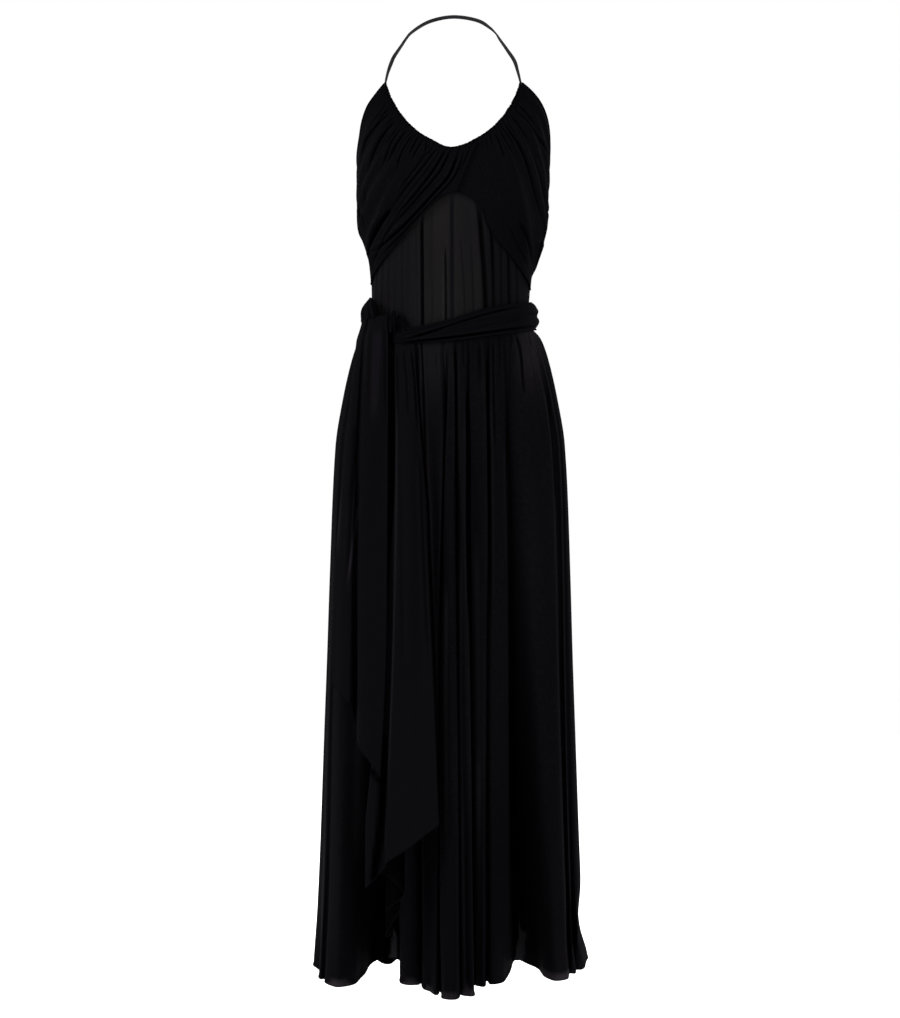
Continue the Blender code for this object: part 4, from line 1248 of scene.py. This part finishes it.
# %% Sash band
SASH_PROFILE = ((0, 3), (0.12, 9), (0.34, 13.5), (0.5, 12), (0.7, 15), (0.9, 11), (1, 5))  # down, outward
SASH_CREASES = (
    # half width, depth, X and height of each point of its line
    (1.5, 3, -80, -500, -29, -487, 14, -472, 66, -456, 100, -447, 128, -440),
    (1.5, 3.2, -80, -503, 0, -495, 61, -486, 123, -475, 145, -472),
    (1.1, 1, -75, -484, -29, -480, 10, -467),
    (1.1, 0.8, -75, -490, -37, -485, -2, -475),
    (1, 1, -75, -480, -44, -476),
    (1, 0.6, 20, -464, 60, -451, 96, -443),
    (2.4, 0.6, 30, -482, 90, -468, 130, -459),
    (1, 1.4, -78, -461, -70, -468, -61, -480),
    (1, 1.4, -79, -470, -70, -477, -60, -486),
)
SASH_WAIST = (119, 89)
SASH_CLEAR = 3.7
# the last: the depth at which a pleat's painted shade is full
SASH_DEEPEST, SASH_HIGHEST, SASH_SHADE_DEPTH = -3.2, 1.3, 2.6
# where the band goes into the knot, which gets painted shade
KNOT_X, KNOT_HALF = -87, 5
SASH_COLUMNS, SASH_ROWS = 400, 46
share = np.linspace(0, 1, SASH_ROWS)[:, None]
angle = (-180 + 360 * np.arange(SASH_COLUMNS) / SASH_COLUMNS)[None]
height = smooth(SASH_LINE, 1, angle) + smooth(SASH_LINE, 2, angle) * (0.5 - share)
stand = smooth(SASH_PROFILE, 1, share)
half = np.maximum(SASH_WAIST[0] + stand, smooth(SKIRT, 1, height) + SASH_CLEAR)
depth = np.where(np.abs(angle) < 90, smooth(SKIRT, 2, height), smooth(SKIRT, 3, height)) + SASH_CLEAR
depth = np.maximum(SASH_WAIST[1] + stand, depth)
turn = np.radians(angle)
grid = np.stack((half * np.sin(turn), -depth * np.cos(turn), height), -1)
x, y, height = np.moveaxis(grid, -1, 0)
wander = share * 24 + 1.8 * np.sin(turn * 2 + 0.7) + 0.9 * np.sin(turn * 5 + share * 3)
wander = 0.55 * np.sin(wander) + 0.3 * np.sin(wander * 1.9 + 1.0)
far = 0.35 + 0.65 * ease((np.abs(angle) - 90) / 30)
pleats = np.where(y < 0, crease_lift(x, height, SASH_CREASES), 0.0)
pleats = pleats + far * wander * np.sin(math.pi * share) ** 0.5
grid = grid + outward(grid, ring=True) * np.clip(pleats, SASH_DEEPEST, SASH_HIGHEST)[..., None]
# painted shade where the band goes into the knot
knot_shade = bell(grid[..., 0], KNOT_X, KNOT_HALF, 4) * (grid[..., 1] < 0)
cloth("sash_cloth", grid, BAND, painted_fold_shade(pleats, SASH_SHADE_DEPTH) * (1 - knot_shade), ring=True)

# %% [markdown]
# The sash's two ends hang from the knot on the wearer's right front, nearly to the calf. They are cut on
# the slant, so each hem runs up to a corner, and the cloth behind the front layer falls in a cascade. Each
# upright fold line is a row: where it is at four heights, how far behind the front layer it lies, and where
# it ends. The side end comes out from under the knot, so it is pinched at its top and rolls back over.

# %% Sash ends
DRAPE = (
    # height, half breadth, front
    (-440, 138, 108),
    (-478, 139, 108),
    (-500, 145, 111),
    (-560, 164, 119),
    (-655, 179, 128),
    (-850, 188, 144),
    (-1000, 193, 156),
    (-1250, 203, 177),
    (-1451, 215, 196),
)
TAIL_HEIGHTS = (-500, -655, -907, -1200)
TAILS = {
    # x at sash, hip, knee and low end, how far behind the front layer at the low end, height of its end
    "front": (
        (-53, -42, -28.5, -16, 0, -1201),
        (-58, -50, -42, -36, 5, -1216),
        (-66, -62, -60, -62, 0, -1236),
        (-81, -79, -82, -94.5, 0, -1259),
        (-80, -78, -81, -93, 12, -1263),
        (-81, -80, -94, -122.5, 18, -1297),
        (-76, -76, -86, -106, 29, -1276),
        (-62, -60, -64, -67, 36, -1304),
        (-70, -70, -78, -94, 44, -1332),
        (-65, -65, -70, -72, 50, -1326),
        (-71, -71, -82, -94, 54, -1370),
        (-68, -68, -76, -84, 56, -1366),
    ),
    "side": (
        (-91, -91, -92, -104, 0, -1135),
        (-103, -108, -112, -116, -5, -1114),
        (-122, -129, -134, -133, 2, -1091),
        (-126, -132, -137, -137, 30, -1072),
        (-129, -136, -142, -143, 34, -1050),
        (-131, -139, -145.5, -147, 6, -1032),
        (-136, -147, -160, -162, 0, -1018),
        (-140, -154, -174, -176, 8, -1003),
    ),
}
TAIL_CREASES = {
    # half width, depth, X and height of each point of its line
    "front": (
        (1.5, 1.8, -77, -508, -77, -558, -76, -631),
        (1.6, 1.8, -69, -505, -64, -558, -60, -631),
        (1.5, 2, -58, -504, -52, -558, -47, -645),
        (3, 1.2, -73, -631, -71, -820, -70, -1024),
        (2.4, 1.6, -44, -645, -38, -820, -29, -1024),
    ),
    "side": (
        (1.8, 1.1, -115, -475, -118, -514, -120, -616),
        (1.5, 0.7, -107, -470, -108, -514, -110, -587),
        (1.6, 1.3, -98, -466, -96, -514, -95, -631),
        (2, 1.6, -153, -514, -162, -631, -169, -762),
        (2, 2, -137, -645, -147, -762, -153, -879),
    ),
}
TAIL_LIGHTS = {
    # half width, how much painted light, X and height of each point: a painted highlight along an edge; below
    # 0, a painted shadow
    "front": (
        (1.8, 0.26, -79, -540, -78, -640, -79, -780, -81.5, -907, -87, -1080, -93.5, -1270),
        (7, -0.8, -96, -1060, -99.5, -1190, -108, -1262, -118, -1340),
        (3.2, -0.75, -128, -1108, -117.6, -1123.5, -104.4, -1139.5, -98, -1147),
    ),
    "side": (
        (2.6, 0.5, -136, -735, -138, -762, -145.6, -820, -153, -870),
        (3.4, 0.34, -153, -590, -159, -655, -163.5, -740, -167, -840),
        (8, 0.2, -106, -470, -109, -540, -112, -640),
        (4, -0.2, -139, -610, -145, -700, -151, -760),
    ),
}
TAIL_USUAL = {"front": 0.48, "side": 0.44}
TAIL_ROWS, TAIL_SPANS = 120, 9
TAIL_UNDER_SASH = 1.5
SIDE_TAIL_TOP = -463
SIDE_TAIL_MIDDLE = -97
SIDE_TAIL_PINCH = 0.21
SIDE_TAIL_ROLL = ((4.2, -3.0), (3.9, 0.2), (2.8, 2.2), (1.1, 2.4))  # back and up from its top row
TAIL_RIPPLE, TAIL_ROLL = 0.7, 0.35
# the depth of a valley or a crease whose painted shade is quite dark
TAIL_DEEP_RELIEF, TAIL_DEEP_CREASE = 12, 5
BEHIND_FROM, BEHIND_OVER, BEHIND_DARKER = 14, 28, 0.7  # folds this far back are in the front one's shade
COLUMN_MM = 1.6


def drape_y(x, height, lift=0.0):
    """Y of the surface on which the sash's ends and knot lie."""
    half = smooth(DRAPE, 1, height) + lift
    return -(smooth(DRAPE, 2, height) + lift) * np.sqrt(np.maximum(0.0, 1 - (x / half) ** 2))


def tail_line(name, line, share):
    """One upright fold line of a sash end, from the sash to its hem."""
    *x_at, behind, end = line
    top = SIDE_TAIL_TOP
    if name == "front":
        angle = math.degrees(math.asin(x_at[0] / float(smooth(DRAPE, 1, TAIL_HEIGHTS[0]))))
        top = float(smooth(SASH_LINE, 1, angle) - smooth(SASH_LINE, 2, angle) / 2) - TAIL_UNDER_SASH
    height = top + (end - top) * share
    x = smooth(list(zip(TAIL_HEIGHTS, x_at)), 1, height)
    if name == "side":
        pinched = ease((height - TAIL_HEIGHTS[0]) / (SIDE_TAIL_TOP - TAIL_HEIGHTS[0]))
        x = x + (SIDE_TAIL_MIDDLE - x) * SIDE_TAIL_PINCH * pinched
    drop = np.clip((TAIL_HEIGHTS[0] - height) / (TAIL_HEIGHTS[0] - TAIL_HEIGHTS[-1]), 0, 1)
    return np.stack((x, drape_y(x, height) + behind * (0.1 + 0.9 * drop), height), -1)


tail_hems = {}
share = np.concatenate((np.linspace(0, 0.994, TAIL_ROWS - 3), (0.9965, 0.998, 1.0)))
down = share[:, None]
for name, lines in TAILS.items():
    grid = curve_through(np.stack([tail_line(name, line, share) for line in lines], 1), TAIL_SPANS)[:, ::-1]
    x, y, height = np.moveaxis(grid, -1, 0)
    fine = crease_lift(x, height, TAIL_CREASES[name])
    around = np.arange(grid.shape[1]) * COLUMN_MM
    fine = fine + TAIL_RIPPLE * np.sin(around / 9 + down * 5) * ease(down / 0.2)
    fine = fine + TAIL_ROLL * ease((down - 0.9955) / 0.001)
    grid = grid + outward(grid) * fine[..., None]
    # painted shade in valleys and creases, more in the folds behind the front layer, and painted highlights
    # and shadows along lines
    deep = relief(grid, 8) / TAIL_DEEP_RELIEF + fine / TAIL_DEEP_CREASE
    light_and_shade = painted_fold_shade(deep, 1.0, TAIL_USUAL[name])
    columns = np.linspace(0, len(lines) - 1, grid.shape[1])
    behind = np.interp(columns, np.arange(len(lines)), [line[4] for line in lines])[::-1]
    shaded = BEHIND_DARKER * ease((behind - BEHIND_FROM) / BEHIND_OVER)
    light_and_shade = light_and_shade * (1 - shaded * ease((down - 0.6) / 0.3))
    light_and_shade = light_and_shade + painted_light_lines(grid[..., 0], grid[..., 2], TAIL_LIGHTS[name])
    if name == "side":
        rolled = np.array([grid[0] + (0, back, up) for back, up in SIDE_TAIL_ROLL])
        grid = np.concatenate((rolled, grid))
        light_and_shade = np.concatenate((light_and_shade[:1].repeat(len(rolled), 0), light_and_shade))
    tail_hems[name] = grid[-1]
    cloth(f"sash_end_{name}", grid, SASH, light_and_shade)

# %% [markdown]
# The knot is two puffs of the same band: a low hump at the side, where the sash turns over itself, and a
# narrow upright loop beside it. Each is a soft tube of cloth, closed at its top and pleated, which bulges
# back to the waist behind its flatter face. It is swept round, from its left side over the face and back
# behind. Its sides turn in, away from the light, so they are darker.

# %% Knot
KNOTS = {
    # X from and to at the bottom, X of the top, share of the width at the top, top and bottom,
    # pleats and their height, usual level of painted light and shade, bulge behind
    "knot_hump": (-133, -107, -118.5, 0.25, -431.5, -464, 3, 0.7, 0.42, 15),
    "knot_loop": (-90, -80, -83, 0.6, -453, -487, 1, 0.9, 0.4, 9),
}
KNOT_PROFILE = ((0, -9), (0.1, -3), (0.26, 3.5), (0.5, 7), (0.75, 5.5), (1, 1.5))  # down, out from the drape
KNOT_ROWS, KNOT_COLUMNS = 48, 88
ROUND_TOP = 3.0
TURN_BACK = 4.0  # how far the sides lie behind the face
SIDES_DARKER = 0.75
share = np.linspace(0, 1, KNOT_ROWS)[:, None]
turn = 2 * math.pi * np.arange(KNOT_COLUMNS)[None] / KNOT_COLUMNS
across = (1 - np.cos(turn)) / 2
edge = np.abs(2 * across - 1)
facing, hidden = np.maximum(0.0, np.sin(turn)), np.maximum(0.0, -np.sin(turn))
spread = np.sin(math.pi / 2 * np.clip(share / 0.75, 0, 1))
fuller = np.sin(math.pi / 2 * np.clip(share / 0.4, 0, 1))
for name, (x_from, x_to, x_top, narrow, top, bottom, pleats, deep, usual, behind) in KNOTS.items():
    wide = (x_to - x_from) * (narrow + (1 - narrow) * spread)
    x = x_top + ((x_from + x_to) / 2 - x_top) * spread + wide * (across - 0.5)
    height = top + (bottom - top) * share - ROUND_TOP * edge**2 * (1 - share)
    back = behind * hidden * fuller
    pleat = deep * np.sin(2 * math.pi * pleats * (across + 0.06 * np.sin(5 * share)) + 1.6)
    pleat = pleat * (0.7 + 0.3 * np.sin(7 * across + 4 * share))
    out = smooth(KNOT_PROFILE, 1, share) + TURN_BACK * (facing - 1) + pleat
    grid = np.stack((x + 0.45 * back, drape_y(x, height, out) + 0.9 * back, height), -1)
    # painted shade in the pleats and on the sides
    light_and_shade = painted_fold_shade(pleat, 1.0, usual) * (1 - SIDES_DARKER * edge**3)
    cloth(f"{name}_cloth", grid, SASH, light_and_shade, ring=True)

# %% [markdown]
# Every hem is rolled and stitched. The skirt's hem runs all round, and each sash end has one along its
# slanted edge. They are swept along the last row of their cloth.

# %% Hems
SASH_ROLL_RADIUS = 0.6
rolled_edge("skirt_front_hem", skirt_front[-1], ROLL_RADIUS, BLACK)
rolled_edge("skirt_back_hem", skirt_back[-1], ROLL_RADIUS, BLACK)
for name, line in tail_hems.items():
    rolled_edge(f"sash_end_{name}_hem", line, SASH_ROLL_RADIUS, SASH)

# %% [markdown]
# Each piece now takes its place: it rides on the dress's one body and stands for the solid that it dresses,
# which is hidden. The table also gives its slot and the size of the cut that shows. A gathered or flared
# piece isn't a rectangle, so its flat area is given too.

# %% Places and cuts
CUTS = {
    # piece: node, slot, how it is held, flat width and length, flat area
    "right_cup_cloth": ("cup_right", "black_chiffon", "gathered", (0.36, 0.24), 0.048),
    "left_cup_cloth": ("cup_left", "black_chiffon", "gathered", (0.36, 0.24), 0.048),
    "midriff_cloth": ("midriff_front", "sheer_chiffon", "gathered", (0.42, 0.20), 0.045),
    "back_cloth": ("bodice_back", "black_chiffon", "hung", (0.36, 0.22), 0.051),
    "skirt_front_cloth": ("skirt_front", "black_chiffon", "gathered", (1.85, 1.0), 0.95),
    "skirt_back_cloth": ("skirt_back", "black_chiffon", "gathered", (0.82, 1.0), 0.56),
    "sash_cloth": ("sash_band", "sash_chiffon", "folded", (0.76, 0.046), None),
    "sash_end_front": ("sash_tail_front", "sash_chiffon", "hung", (0.23, 0.90), 0.134),
    "sash_end_side": ("sash_tail_side", "sash_chiffon", "hung", (0.14, 0.68), 0.068),
    "knot_hump_cloth": ("knot_hump", "sash_chiffon", "folded", (0.068, 0.047), None),
    "knot_loop_cloth": ("knot_loop", "sash_chiffon", "folded", (0.034, 0.037), None),
}
CUP_EDGES = ("neck_casing", "armhole_edge", "lower_edge")
EDGES = {
    **{f"{side}_cup_cloth": [f"{edge}_{side}" for edge in CUP_EDGES] for side in cup_grids},
    "back_cloth": ["back_top_edge"],
    "skirt_front_cloth": ["skirt_front_hem"],
    "skirt_back_cloth": ["skirt_back_hem"],
    "sash_end_front": ["sash_end_front_hem"],
    "sash_end_side": ["sash_end_side_hem"],
}
for name, (node, slot, held, flat, area) in CUTS.items():
    piece, edges = bpy.data.objects[name], EDGES.get(name, [])
    for part in [piece, *[bpy.data.objects[edge] for edge in edges]]:
        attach(part, "root")
    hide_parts(node)
tape = bpy.data.objects["neck_tape"]
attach(tape, "root")
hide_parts("neck_strap")
print("pieces", len(CUTS) + 1 + sum(len(edges) for edges in EDGES.values()))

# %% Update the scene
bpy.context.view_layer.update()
